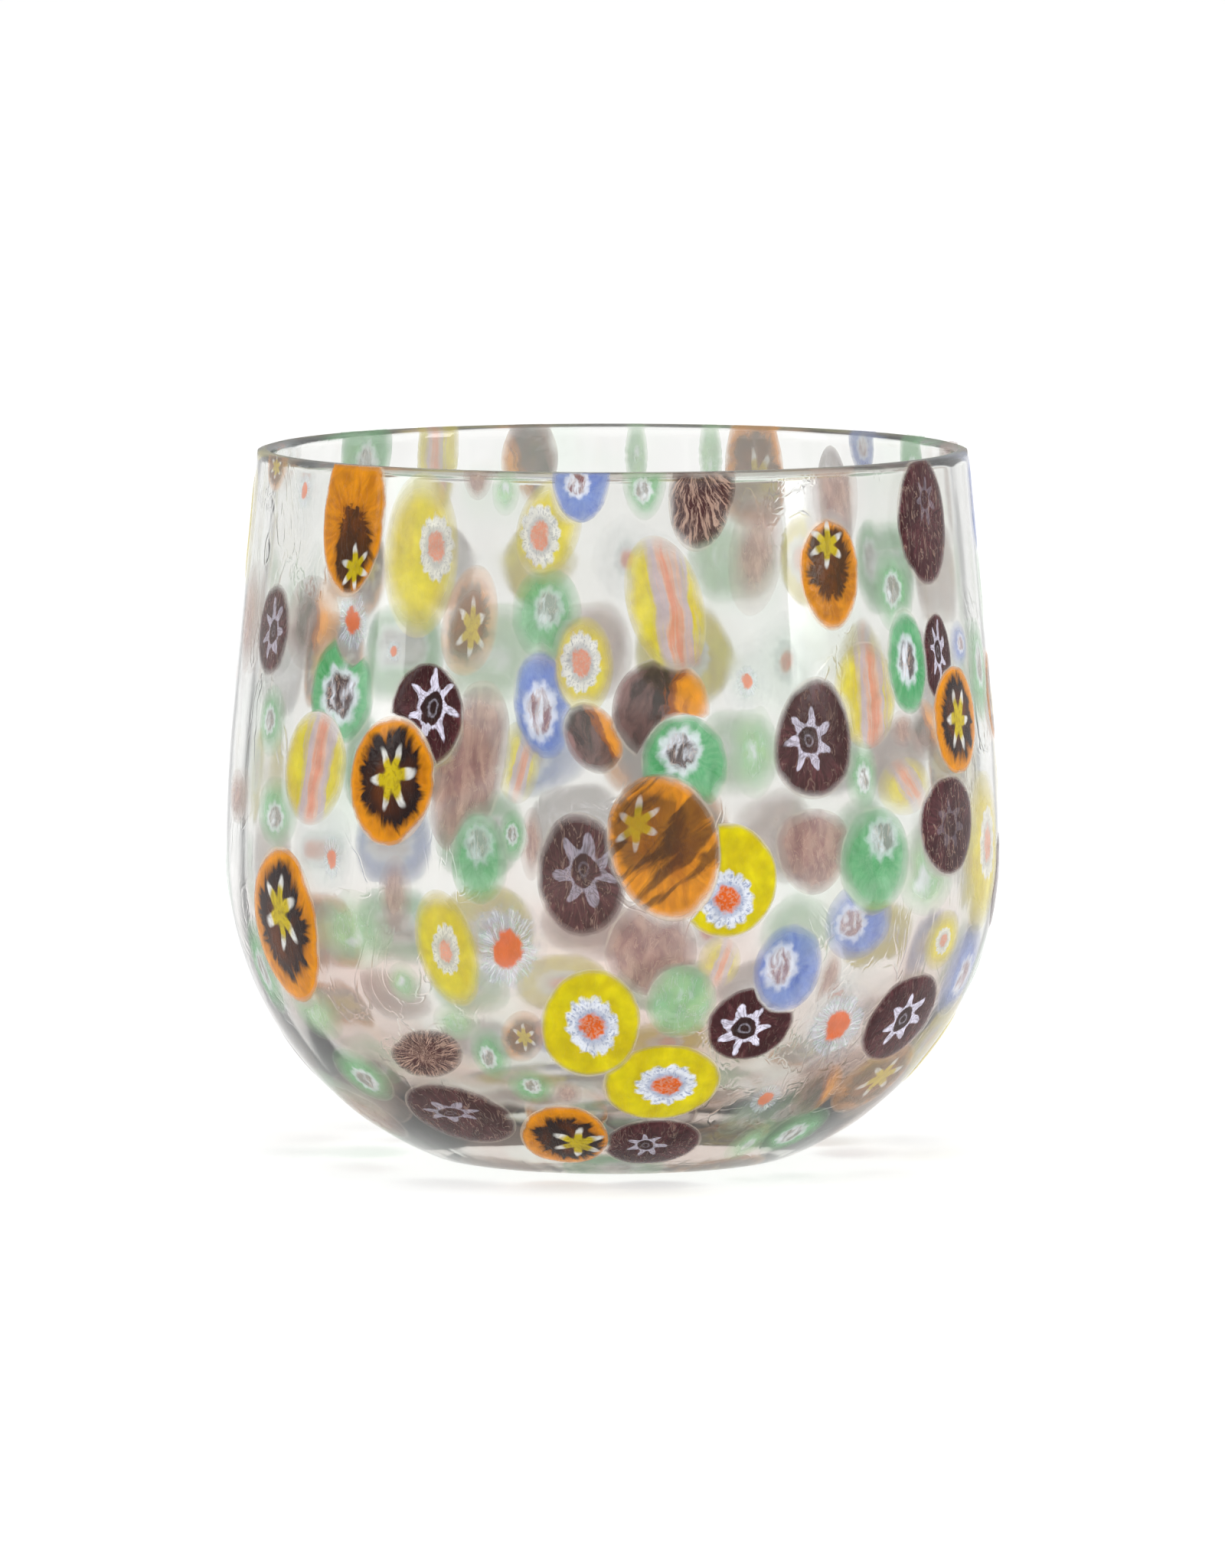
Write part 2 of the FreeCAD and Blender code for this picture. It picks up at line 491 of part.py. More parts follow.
class Slice:
    """One slice of cane: its kind, its outline on the surface and, later, its solid."""

    def __init__(self, number, kind, width, length, belly, place):
        self.kind = kind
        self.name = "slice_%03d" % number
        self.width = width * size("slice_stretch")
        self.length = length * size("slice_stretch")
        self.belly = belly
        self.place = place
        self.cutter = None
        self.solid = None

    def outline(self, name, margin):
        """The slice's face, wider all round by a margin."""
        above = self.length * (1 - self.belly) + margin
        below = self.length * self.belly + margin
        return egg_outline(name, self.width + 2 * margin, above, below, self.place)

    def reach(self):
        """Radius of a ball about the slice's middle that holds it all."""
        return math.hypot(self.width / 2, self.length * max(self.belly, 1 - self.belly))

    def near(self, other):
        """Whether the two could meet."""
        gap = self.place.Base.distanceToPoint(other.place.Base)
        return gap < self.reach() + other.reach() + size("slice_seam")

    def make_cutter(self):
        """Prism one seam wider than the slice, which trims the slices under it."""
        if self.cutter is None:
            self.cutter = prism(self.outline(self.name + "_cutter", size("slice_seam")))
        return self.cutter

    def make_solid(self, skin, above):
        """The slice itself: its prism inside the skin, trimmed by the slices that lie over it."""
        common = doc.addObject("Part::Common", self.name + "_pressed")
        common.Base = prism(self.outline(self.name, 0.0))
        common.Tool = skin
        self.solid = common
        touching = [other.make_cutter() for other in above if self.near(other)]
        if touching:
            pile = doc.addObject("Part::Compound", self.name + "_neighbours")
            pile.Links = touching
            trimmed = doc.addObject("Part::Cut", self.name + "_trimmed")
            trimmed.Base = common
            trimmed.Tool = pile
            self.solid = trimmed
        return self.solid


def wall_slice(number, kind, turn, rise, wide, tall, belly, lean):
    """A slice on the wall. Its middle is half way up it, so its widest line lies a little off."""
    length = tall / 100 * wall_length()
    widest = rise + (belly - 0.5) * tall
    radius, height, outward = wall_point(widest)
    width = math.radians(wide) * radius
    place = surface_place(turn, radius, height, outward, lean)
    return Slice(number, kind, width, length, belly, place)


def wobble(number, amount):
    """A small uneven change, different for each slice and always the same for one slice."""
    return amount * math.sin(12.9 * number)


def back_slices(first_number):
    """The rows round the back. Widths shrink with the row's girth, and no two are quite alike."""
    slices = []
    for rise, first_turn, step, kinds in BACK_ROWS:
        for place, kind in enumerate(kinds):
            number = first_number + len(slices)
            turn = first_turn + place * step + wobble(number, step * BACK_WOBBLE)
            slices.append(wall_slice(
                number, kind, turn, rise + wobble(number + 3, BACK_LENGTH * BACK_WOBBLE),
                step * BACK_WIDTH_SHARE * (1 + wobble(number + 5, BACK_WOBBLE)),
                BACK_LENGTH * (1 + wobble(number + 7, BACK_WOBBLE)), 0.5, wobble(number, 12.0)))
    return slices


def foot_slices(first_number):
    """The slices under the foot, which look straight down."""
    ring_radius = size("foot_radius") * FOOT_RING_SHARE
    width = size("foot_radius") * FOOT_SLICE_SHARE
    down = (0.0, -1.0)
    middle = surface_place(0.0, 0.0, 0.0, down, 0.0)
    slices = [Slice(first_number, FOOT_MIDDLE_KIND, width, width, 0.5, middle)]
    for place, kind in enumerate(FOOT_KINDS):
        turn = 360 / len(FOOT_KINDS) * place
        seat = surface_place(turn, ring_radius, 0.0, down, 0.0)
        slices.append(Slice(first_number + 1 + place, kind, width, width, 0.5, seat))
    return slices


def compound(name, items):
    """A group of separate solids under one name."""
    group = doc.addObject("Part::Compound", name)
    group.Links = items
    group.Label = name
    return group


def check(items):
    """Stops at an object that failed or a sub-part with no sound solid."""
    for item in doc.Objects:
        if "Invalid" in item.State or "Error" in item.State:
            raise RuntimeError("%s did not compute: %s" % (item.Name, item.State))
    for item in items:
        shape = item.Shape
        if shape.isNull() or not shape.isValid() or not shape.Solids:
            raise RuntimeError("%s is not a sound solid" % item.Label)


def main():
    fill_sheet()
    blank = blown_blank()
    core = skin_core()
    skin = doc.addObject("Part::Cut", "skin")
    skin.Base = blank
    skin.Tool = core

    named = [wall_slice(number, *line) for number, line in enumerate(NAMED_SLICES)]
    others = [wall_slice(len(named) + number, *line) for number, line in enumerate(MINOR_SLICES)]
    others += back_slices(len(named) + len(others))
    others += foot_slices(len(named) + len(others))
    placed = []
    for piece in named + others:
        piece.make_solid(skin, placed)
        placed.append(piece)

    nodes = []
    counts = {}
    for piece in named:
        counts[piece.kind] = counts.get(piece.kind, 0) + 1
        piece.solid.Label = "%s_murrina_%02d" % (piece.kind, counts[piece.kind])
        nodes.append(piece.solid)
    for kind in sorted({piece.kind for piece in others}):
        same = [piece.solid for piece in others if piece.kind == kind]
        nodes.append(compound("%s_murrine_group" % kind, same))

    bowl = doc.addObject("Part::Cut", "bowl")
    bowl.Base = blank
    bowl.Tool = compound("all_murrine", [piece.solid for piece in placed])
    bowl.Label = "clear_glass_bowl"
    nodes.append(bowl)

    doc.recompute()
    check(nodes)
    os.makedirs("parts", exist_ok=True)
    for node in nodes:
        node.Shape.exportStep("parts/%s.step" % node.Label)
        print(node.Label, len(node.Shape.Solids), round(node.Shape.Volume, 1))


main()
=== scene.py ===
"""Looks of the blown glass bowl with murrine, built round its packed model.

The clear wall and every slice of cane are surfaces worked out with numpy. The wall follows the
bowl's own section. Each slice takes its outline from its CAD node and becomes a small lens of
patterned glass that stands a little proud of the clear wall and sinks under it at its edge.
"""

import math
from collections import namedtuple

import bpy
import numpy as np
from bpy.props import (EnumProperty, FloatProperty, FloatVectorProperty, IntProperty,
                       PointerProperty)
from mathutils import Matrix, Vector


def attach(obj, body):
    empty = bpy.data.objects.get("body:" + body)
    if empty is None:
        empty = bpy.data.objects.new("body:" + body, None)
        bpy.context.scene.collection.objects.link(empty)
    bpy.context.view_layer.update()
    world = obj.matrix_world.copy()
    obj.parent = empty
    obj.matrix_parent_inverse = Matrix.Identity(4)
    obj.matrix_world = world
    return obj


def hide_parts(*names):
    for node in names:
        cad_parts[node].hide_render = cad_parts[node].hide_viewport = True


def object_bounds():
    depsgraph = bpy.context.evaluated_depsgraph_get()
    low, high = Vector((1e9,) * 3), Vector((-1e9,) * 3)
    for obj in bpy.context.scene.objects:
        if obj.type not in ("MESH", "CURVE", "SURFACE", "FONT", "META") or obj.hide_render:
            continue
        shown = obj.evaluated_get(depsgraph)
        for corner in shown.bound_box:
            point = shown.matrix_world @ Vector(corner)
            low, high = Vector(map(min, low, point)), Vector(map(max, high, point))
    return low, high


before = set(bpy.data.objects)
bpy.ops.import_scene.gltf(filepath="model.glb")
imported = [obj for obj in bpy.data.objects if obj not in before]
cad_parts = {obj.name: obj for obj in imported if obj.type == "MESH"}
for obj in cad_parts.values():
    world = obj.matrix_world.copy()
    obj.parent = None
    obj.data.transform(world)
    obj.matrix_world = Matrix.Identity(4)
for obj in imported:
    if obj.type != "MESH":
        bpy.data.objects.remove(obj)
CAD_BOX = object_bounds()

bl_info = {
    "name": "Murrine Bowl",
    "version": (1, 0, 0),
    "blender": (4, 5, 0),
    "location": "View3D > Sidebar > Murrine",
    "description": "Blown clear glass bowl with slices of patterned cane",
    "category": "Object",
}

BOWL_NODE = "clear_glass_bowl"
CORE_ATTRIBUTE = "cane_core"
SLICE_ATTRIBUTE = "cane_slice"
DISC_MAP = "cane_disc"

# For each kind of cane and each named slice's number: where the heart of its pattern lies, how
# large it is and how far it is turned. The first four numbers are shares of the slice's half width
# and half height: across, up, half width, half height. The fifth is the turn in degrees, the sixth
# how strongly the heart shows, and the seventh how bold the whole slice is, where a low number is
# pale and soft at its edge. PLAIN_HEART and STRIPE_HEART serve the slices that aren't listed.
HEARTS = {
    "amber_star": {
        1: (0.20, -0.62, 0.46, 0.30, 20, 0.9, 1.0),
        2: (-0.10, 0.52, 0.60, 0.42, 0, 0.9, 0.96),
        3: (0.08, 0.06, 0.52, 0.54, -20, 1.0, 1.0),
        4: (0.0, 0.0, 0.46, 0.60, -10, 1.0, 1.0),
        5: (0.04, 0.18, 0.50, 0.50, 0, 1.0, 1.0),
        6: (-0.50, 0.34, 0.44, 0.34, 35, 0.5, 0.95),
        7: (0.30, -0.14, 0.62, 0.52, 10, 1.0, 1.0),
    },
    "aubergine_star": {
        1: (0.1, 0.3, 0.40, 0.40, 0, 0.15, 1.0),
        2: (0.1, 0.0, 0.60, 0.72, -25, 0.5, 0.92),
        3: (0.06, 0.0, 0.64, 0.64, 0, 1.0, 1.0),
        4: (-0.16, 0.0, 0.62, 0.54, 10, 0.7, 0.96),
        5: (0.15, 0.1, 0.70, 0.62, 0, 0.35, 0.92),
        6: (0.0, 0.0, 0.50, 0.50, 0, 0.1, 1.0),
        7: (-0.10, 0.0, 0.56, 0.66, 0, 1.0, 1.0),
        8: (-0.16, 0.0, 0.42, 0.50, 0, 0.6, 1.0),
        9: (0.0, 0.0, 0.52, 0.60, -35, 0.95, 1.0),
        10: (-0.1, 0.15, 0.60, 0.36, 10, 0.4, 0.95),
        11: (0.0, 0.0, 0.52, 0.66, 0, 0.8, 1.0),
    },
    "yellow_flower": {
        1: (0.04, 0.0, 0.62, 0.66, 10, 1.0, 1.0),
        2: (0.06, 0.0, 0.60, 0.62, 0, 1.0, 1.0),
        3: (0.50, 0.10, 0.62, 0.52, 0, 0.75, 0.72),
        4: (-0.16, -0.08, 0.72, 0.78, -15, 0.8, 0.70),
        5: (-0.24, -0.22, 0.62, 0.56, 0, 1.0, 1.0),
        6: (0.0, 0.0, 0.56, 0.56, 0, 0.7, 0.80),
        7: (-0.10, 0.05, 0.90, 0.84, 0, 0.8, 0.70),
    },
    "green_eye": {
        1: (-0.06, 0.0, 0.66, 0.64, -12, 0.9, 1.0),
        2: (0.0, -0.10, 0.72, 0.72, 0, 0.95, 0.97),
        3: (-0.16, 0.10, 0.60, 0.64, -20, 0.9, 0.95),
        4: (0.1, 0.1, 0.54, 0.62, -20, 0.5, 0.72),
        5: (0.0, 0.34, 0.72, 0.60, 0, 0.45, 0.75),
        6: (0.20, 0.44, 0.60, 0.56, 0, 0.6, 0.85),
    },
    "blue_eye": {
        1: (-0.26, 0.05, 0.64, 0.66, 0, 0.8, 0.92),
        2: (-0.12, 0.34, 0.56, 0.60, 0, 1.0, 0.95),
        3: (0.0, -0.14, 0.66, 0.70, 10, 0.85, 0.92),
        4: (-0.2, 0.18, 0.60, 0.64, 0, 0.75, 0.75),
    },
    "clear_flower": {
        1: (-0.1, 0.05, 0.90, 0.86, 0, 1.0, 0.9),
        2: (0.06, -0.10, 0.92, 0.94, 0, 1.0, 0.9),
        3: (0.0, 0.06, 0.90, 0.92, -20, 1.0, 0.9),
    },
    "yellow_stripe": {
        1: (0.0, 0.0, 1.0, 1.0, 14, 1.0, 0.88),
        2: (0.0, 0.0, 1.0, 1.0, 0, 1.0, 0.85),
        3: (0.0, 0.0, 1.0, 1.0, -12, 1.0, 0.92),
    },
    "amber_stripe": {
        1: (0.0, 0.0, 1.0, 1.0, -15, 1.0, 0.96),
        2: (0.0, 0.0, 1.0, 1.0, 30, 1.0, 0.92),
    },
    "jade": {
        1: (0.1, 0.15, 0.45, 0.45, 0, 1.0, 0.95),
    },
    "mauve": {
        1: (-0.20, 1.10, 0.60, 0.60, 0, 1.0, 1.0),
        5: (0.0, 0.0, 0.60, 0.60, 0, 1.0, 1.0),
    },
}
Heart = namedtuple("Heart", "across up half_width half_height turn showing boldness")
PLAIN_HEART = Heart(0.0, 0.0, 0.60, 0.62, 0, 0.75, 0.92)
STRIPE_HEART = Heart(0.0, 0.0, 1.0, 1.0, 0, 1.0, 0.8)
GROUP_SPREAD = 0.14
GROUP_TURN, STRIPE_TURN = 25, 30

# Ripples of the clear wall: the part that the fine ones have, how far they twist along the section,
# how many fine ones there are to a slow one, the slow ones' twist per metre and start, and how
# strong both are on the outer skin. The inner wall and floor are the last parts of the section.
FINE_PART, FINE_TWIST = 0.6, 5
SLOW_SHARE, SLOW_TWIST, SLOW_START = 3, 40, 1.7
OUTER_RIPPLE = 0.35
INNER_PARTS = 4

# A slice's mesh: how its rings crowd towards the outline, how late its face falls to the edge and
# its back rises from it, and the height and the waves per metre of its uneven face.
RING_CROWDING = 1.7
EDGE_POWER, BULGE_POWER = 12, 6
SWELL_HEIGHT = 4e-5
SWELL_WAVES = (900, 700)

FLOOR_SIDES = 96
FLOOR_GAP = 2e-4

GLASS_IOR = 1.5
SKIN_RELIEF = 0.00012
WALL_RELIEF = 0.0004
FACE_ROUGHNESS, CREASE_ROUGHNESS = 0.14, 0.34
LIP_START = 0.985
NODE_STEP = (200, 260)
NODE_ROW = 12

# Each light: its name, its power setting and its share of that power, then its azimuth from the
# bowl's front in degrees, distance from the axis, level, width, height and the level it faces.
LIGHTS = (
    ("right_window", "window_power", 1.0, 63.0, 2.6, 0.735, 0.56, 0.9, 0.735),
    ("left_window", "window_power", 0.6, -72.0, 2.6, 0.75, 0.5, 1.1, 0.75),
    ("overhead", "overhead_power", 1.0, 20.0, 0.6, 2.4, 1.6, 1.6, 0.0),
)


def display_colour(red, green, blue):
    """A colour as a screen shows it, from 0 to 255, as Blender's linear light."""
    shown = np.array([red, green, blue]) / 255.0
    return tuple(np.where(shown <= 0.04045, shown / 12.92, ((shown + 0.055) / 1.055) ** 2.4))


def colour_property(name, red, green, blue, description):
    """A colour of the add-on's settings."""
    return FloatVectorProperty(
        name=name, description=description, subtype="COLOR", size=3, min=0.0, max=1.0,
        default=display_colour(red, green, blue))


def length_property(name, default, description):
    """A length of the add-on's settings, in metres."""
    return FloatProperty(
        name=name, description=description, default=default, min=0.0, precision=5,
        subtype="DISTANCE", unit="LENGTH")


def node_points(node):
    """Every vertex of a CAD node as an array of points."""
    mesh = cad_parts[node].data
    points = np.empty(len(mesh.vertices) * 3)
    mesh.vertices.foreach_get("co", points)
    return points.reshape(-1, 3)


def measured_section():
    """The bowl's main section sizes, read from the clear bowl's CAD node."""
    points = node_points(BOWL_NODE)
    radius = np.hypot(points[:, 0], points[:, 1])
    height = points[:, 2]
    close = 1e-5
    top = height.max()
    rim = radius[height > top - close]
    widest = radius.max()
    floor_zone = (radius < 0.3 * widest) & (height > 0.02 * top)
    return {
        "height": top,
        "widest_radius": widest,
        "widest_height": height[np.argmax(radius)],
        "rim_outside": rim.max(),
        "rim_inside": rim.min(),
        "contact_radius": radius[height < close].max(),
        "floor_height": height[floor_zone].min(),
    }


MEASURED = measured_section()


class MURRINE_PG_glass(bpy.types.PropertyGroup):
    """Sizes and clearness of the clear blown wall."""

    wall_lean: FloatProperty(
        name="Wall Lean", description="Inward lean of the straight upper wall",
        default=math.radians(5.5), subtype="ANGLE", unit="ROTATION")
    lip_round: length_property("Lip Round", 0.00055, "Section radius of the lip's two edges")
    foot_round: length_property("Foot Round", 0.005, "Section radius of the foot's outer edge")
    dent_radius: length_property("Dent Radius", 0.015, "Radius of the hollow under the foot")
    dent_depth: length_property("Dent Depth", 0.0008, "Depth of the hollow under the foot")
    sink: length_property("Sink", 0.00014, "How far the clear skin lies under the slices' faces")
    ripple: length_property("Ripple", 0.00007, "Height of the soft upright ripples of the wall")
    ripple_count: IntProperty(
        name="Ripples", description="Number of upright ripples round the bowl", default=26, min=3)
    around: IntProperty(name="Steps Around", description="Mesh steps round the bowl",
                        default=432, min=24)
    along: IntProperty(name="Steps Along", description="Mesh steps along the section",
                       default=216, min=24)
    tint: colour_property("Tint", 241, 241, 239, "Tint that light takes at the glass's faces")
    pink_smear: colour_property("Pink Smear", 224, 192, 182, "Thin pink drawn through the low wall")
    green_smear: colour_property("Green Smear", 206, 232, 210, "Thin green drawn through the wall")
    smear_top: length_property("Smear Top", 0.06, "Height where the pink smears end")
    deep: colour_property("Deep Tint", 196, 206, 200, "Tint of light that crosses much glass")
    absorption: FloatProperty(
        name="Absorption", description="Density of the deep tint, in one over metres",
        default=13.0, min=0.0)


class MURRINE_PG_slices(bpy.types.PropertyGroup):
    """Shape of the slices and the colours of their glass."""

    edge_drop: length_property("Edge Drop", 0.00034, "How far a slice's edge sinks into the wall")
    depth: length_property("Depth", 0.00085, "How deep a slice reaches into the wall")
    spread: FloatProperty(name="Spread", description="How far a slice's edge runs past its outline",
                          default=1.03, min=0.5, max=1.5)
    faint_spread: FloatProperty(name="Faint Spread", description="How much wider faint ones run",
                                default=0.35, min=0.0, max=1.0)
    front_angle: FloatProperty(
        name="Front Angle", description="Half the angle of the wall that counts as the front",
        default=math.radians(80), subtype="ANGLE", unit="ROTATION")
    front_boldness: FloatProperty(name="Front Boldness", default=0.55, min=0.0, max=1.0,
                                  description="Boldness of the small slices in front")
    back_boldness: FloatProperty(name="Back Boldness", default=0.9, min=0.0, max=1.0,
                                 description="Boldness of the other slices in groups")
    around: IntProperty(name="Steps Around", description="Mesh steps round a slice",
                        default=72, min=12)
    face_rings: IntProperty(name="Face Rings", description="Mesh rings on a slice's outer face",
                            default=13, min=3)
    back_rings: IntProperty(name="Back Rings", description="Mesh rings on a slice's inner face",
                            default=5, min=2)
    amber: colour_property("Amber", 212, 134, 2, "Clear amber of the star canes")
    toffee: colour_property("Toffee", 134, 68, 4, "Amber over dark glass")
    bitter: colour_property("Bitter Brown", 30, 13, 11, "Dark ring of the amber canes")
    aubergine: colour_property("Aubergine", 52, 19, 23, "Dark purple glass")
    plum: colour_property("Plum", 116, 68, 72, "Thinly drawn aubergine")
    lilac: colour_property("Lilac", 226, 222, 240, "White points drawn over purple")
    lemon: colour_property("Lemon", 206, 192, 3, "Opaque yellow of the flower canes")
    mustard: colour_property("Mustard", 186, 164, 2, "Deeper patches of the yellow")
    petal: colour_property("Petal", 214, 218, 226, "Opaque white of the petals")
    slate: colour_property("Slate", 140, 150, 178, "Blue grey between the petals")
    coral: colour_property("Coral", 204, 96, 48, "Orange red heart")
    emerald: colour_property("Emerald", 40, 140, 76, "Clear green of the eye canes")
    moss: colour_property("Moss", 122, 180, 138, "Thinly drawn green")
    periwinkle: colour_property("Periwinkle", 82, 106, 176, "Blue of the eye canes")
    haze: colour_property("Haze", 132, 152, 192, "Thinly drawn blue")
    jade: colour_property("Jade", 134, 180, 128, "Pale milky green")
    smoke: colour_property("Smoke", 132, 98, 94, "Smoky mauve")
    blush: colour_property("Blush", 194, 162, 144, "Pink beige of drawn cane")
    # Cream is the colour of the painted highlight line at a slice's edge; faint slices and inner
    # faces also pale towards it.
    cream: colour_property("Cream", 250, 240, 222, "Bright line where a slice meets the wall")


class MURRINE_PG_studio(bpy.types.PropertyGroup):
    """Camera, lights and floor."""

    camera_distance: length_property("Camera Distance", 2.0126, "Level distance to the axis")
    camera_height: length_property("Camera Height", 0.2513, "Height above the floor")
    aim_height: length_property("Aim Height", 0.0577, "Height that the camera looks at")
    lens: FloatProperty(name="Lens", description="Focal length", default=299.5,
                        subtype="DISTANCE_CAMERA")
    sky: FloatProperty(name="Sky", description="Brightness of the white studio round the bowl",
                       default=1.0, min=0.0)
    window_power: FloatProperty(name="Window Power", description="Power of each tall soft window",
                                default=12.0, min=0.0, subtype="POWER", unit="POWER")
    overhead_power: FloatProperty(name="Overhead Power", description="Power of the light above",
                                  default=20.0, min=0.0, subtype="POWER", unit="POWER")
    floor_size: length_property("Floor Size", 24.0, "Width of the white floor")
    floor_glow: FloatProperty(name="Floor Glow", description="Light that the floor gives itself",
                              default=0.50, min=0.0)
    floor_colour: colour_property("Floor", 204, 204, 204, "Plain pale floor")


class Path:
    """A line of arcs and straights in the half plane of radius and height, walked by distance."""

    def __init__(self):
        self.parts = []

    def arc(self, centre, radius, first, last):
        """Adds an arc. Walking it, the outward side is away from its centre, or towards it when
        the angle falls."""
        self.parts.append(("arc", centre, radius, first, last, abs(last - first) * radius))

    def line(self, start, end):
        """Adds a straight, whose outward side is on the right hand of the way it goes."""
        self.parts.append(("line", start, end, None, None, math.dist(start, end)))

    def length(self):
        """Length of the whole path."""
        return sum(part[5] for part in self.parts)

    def walk(self, distance):
        """Radius, height and outward direction at each distance from the start, as whole arrays.
        On an arc the point is the centre plus the radius times (cos, sin) of an angle that grows
        evenly with distance, and on a straight it is a plain blend of the ends."""
        distance = np.asarray(distance, float)
        out = np.zeros((4,) + distance.shape)
        begun = 0.0
        for number, (kind, first, second, third, fourth, length) in enumerate(self.parts):
            last = number == len(self.parts) - 1
            here = (distance >= begun) & ((distance < begun + length) | last)
            share = np.clip((distance[here] - begun) / length, 0.0, 1.0)
            if kind == "arc":
                angle = third + (fourth - third) * share
                side = 1.0 if fourth > third else -1.0
                point = (first[0] + second * np.cos(angle), first[1] + second * np.sin(angle))
                out[:, here] = (point[0], point[1], side * np.cos(angle), side * np.sin(angle))
            else:
                way = (second[0] - first[0], second[1] - first[1])
                point = (first[0] + way[0] * share, first[1] + way[1] * share)
                out[:, here] = (point[0], point[1], np.full_like(share, way[1] / length),
                                np.full_like(share, -way[0] / length))
            begun += length
        return out


class Section:
    """The bowl's section, rebuilt from the measured sizes and the settings."""

    def __init__(self, glass):
        self.top = MEASURED["height"]
        self.widest = MEASURED["widest_radius"]
        self.waist = MEASURED["widest_height"]
        self.lean = glass.wall_lean
        self.lip = glass.lip_round
        self.round = glass.foot_round
        self.dent = (glass.dent_radius, glass.dent_depth)
        self.wall = (MEASURED["rim_outside"] - MEASURED["rim_inside"]) * math.cos(self.lean)
        self.floor = MEASURED["floor_height"]
        self.contact = MEASURED["contact_radius"]
        gap = self.widest - self.contact
        self.lower = ((gap ** 2 + (self.waist - self.round) ** 2 - self.round ** 2)
                      / (2 * (gap - self.round)))
        drop = self.widest - MEASURED["rim_outside"]
        rise = self.top - self.waist
        slope = math.tan(self.lean)
        self.shoulder = ((drop - rise * slope)
                         / (1 - math.cos(self.lean) - math.sin(self.lean) * slope))

    def upper_end(self, inset, height):
        """Point of the straight upper wall at a depth under the skin and a height."""
        centre = self.widest - self.shoulder
        radius = self.shoulder - inset
        bend = (centre + radius * math.cos(self.lean), self.waist + radius * math.sin(self.lean))
        return bend, (bend[0] - (height - bend[1]) * math.tan(self.lean), height)

    def outside(self, inset=0.0, end_height=None):
        """The outer skin from the axis under the foot up to the rim, at a depth under the skin."""
        path = Path()
        dent_radius = (self.dent[0] ** 2 + self.dent[1] ** 2) / (2 * self.dent[1])
        dent_angle = math.asin(self.dent[0] / dent_radius)
        dent_centre = (0.0, self.dent[1] - dent_radius)
        edge = (self.dent[0], inset)
        path.arc((dent_centre[0], dent_centre[1] + inset), dent_radius,
                 math.pi / 2, math.pi / 2 - dent_angle)
        path.line(edge, (self.contact, inset))
        foot_centre = (self.contact, self.round)
        lower_centre = (self.widest - self.lower, self.waist)
        foot_angle = math.atan2(foot_centre[1] - lower_centre[1],
                                foot_centre[0] - lower_centre[0])
        path.arc(foot_centre, self.round - inset, -math.pi / 2, foot_angle)
        path.arc(lower_centre, self.lower - inset, foot_angle, 0.0)
        path.arc((self.widest - self.shoulder, self.waist), self.shoulder - inset, 0.0, self.lean)
        bend, end = self.upper_end(inset, end_height or self.top)
        path.line(bend, end)
        return path

    def closed(self, inset):
        """The section of the clear wall: outer skin, flat lip with round edges, inner wall, floor."""
        edge_height = self.top - self.lip
        _, outer_centre = self.upper_end(inset + self.lip, edge_height)
        _, inner_centre = self.upper_end(self.wall - self.lip, edge_height)
        path = self.outside(inset, edge_height + self.lip * math.sin(self.lean))
        path.arc(outer_centre, self.lip, self.lean, math.pi / 2)
        path.line((outer_centre[0], self.top), (inner_centre[0], self.top))
        path.arc(inner_centre, self.lip, math.pi / 2, self.lean + math.pi)
        bend, start = self.upper_end(self.wall, edge_height - self.lip * math.sin(self.lean))
        path.line(start, bend)
        path.arc((self.widest - self.shoulder, self.waist), self.shoulder - self.wall,
                 self.lean, 0.0)
        inner = self.waist - self.floor
        inner_centre = (self.widest - self.wall - inner, self.waist)
        path.arc(inner_centre, inner, 0.0, -math.pi / 2)
        path.line((inner_centre[0], self.floor), (0.0, self.floor))
        return path


def hub_angle(radius, height):
    """Direction of a section point from a hub half way up the axis."""
    return np.arctan2(height - MEASURED["height"] / 2, radius)


class Skin:
    """The outer skin as a surface: from azimuth and distance along the section to points."""

    def __init__(self, section):
        self.path = section.outside()
        self.steps = np.linspace(0.0, self.path.length(), 4001)
        radius, height = self.path.walk(self.steps)[:2]
        self.angles = hub_angle(radius, height)
        self.reach = np.hypot(radius, height - MEASURED["height"] / 2)
        self.radius = radius

    def distance(self, points):
        """Distance along the section of each point's nearest place, by its hub angle."""
        radius = np.hypot(points[:, 0], points[:, 1])
        return np.interp(hub_angle(radius, points[:, 2]), self.angles, self.steps)

    def depth(self, points):
        """How far each point lies under the skin, measured towards the hub."""
        radius = np.hypot(points[:, 0], points[:, 1])
        reach = np.hypot(radius, points[:, 2] - MEASURED["height"] / 2)
        return np.interp(hub_angle(radius, points[:, 2]), self.angles, self.reach) - reach

    def place(self, azimuth, distance):
        """Points and outward directions at azimuths and distances. The point is the section's
        (radius, height) turned about the axis, with azimuth 0 facing -Y."""
        radius, height, out, up = self.path.walk(distance)
        sine, cosine = np.sin(azimuth), np.cos(azimuth)
        points = np.stack([radius * sine, -radius * cosine, height], -1)
        normals = np.stack([out * sine, -out * cosine, up], -1)
        return points, normals

    def place_under(self, across, away):
        """Points and outward directions under the foot, at level places."""
        radius = np.hypot(across, away)
        distance = np.interp(radius, self.radius, self.steps, right=self.steps[-1])
        azimuth = np.arctan2(across, -away)
        return self.place(azimuth, distance)


def loose_parts(points, faces):
    """Vertex labels of a mesh's separate parts, by passing the smallest label over every edge."""
    labels = np.arange(len(points))
    while True:
        lowest = labels[faces].min(1)
        spread = labels.copy()
        np.minimum.at(spread, faces.ravel(), np.repeat(lowest, 3))
        spread = spread[spread]
        if np.array_equal(spread, labels):
            return labels
        labels = spread


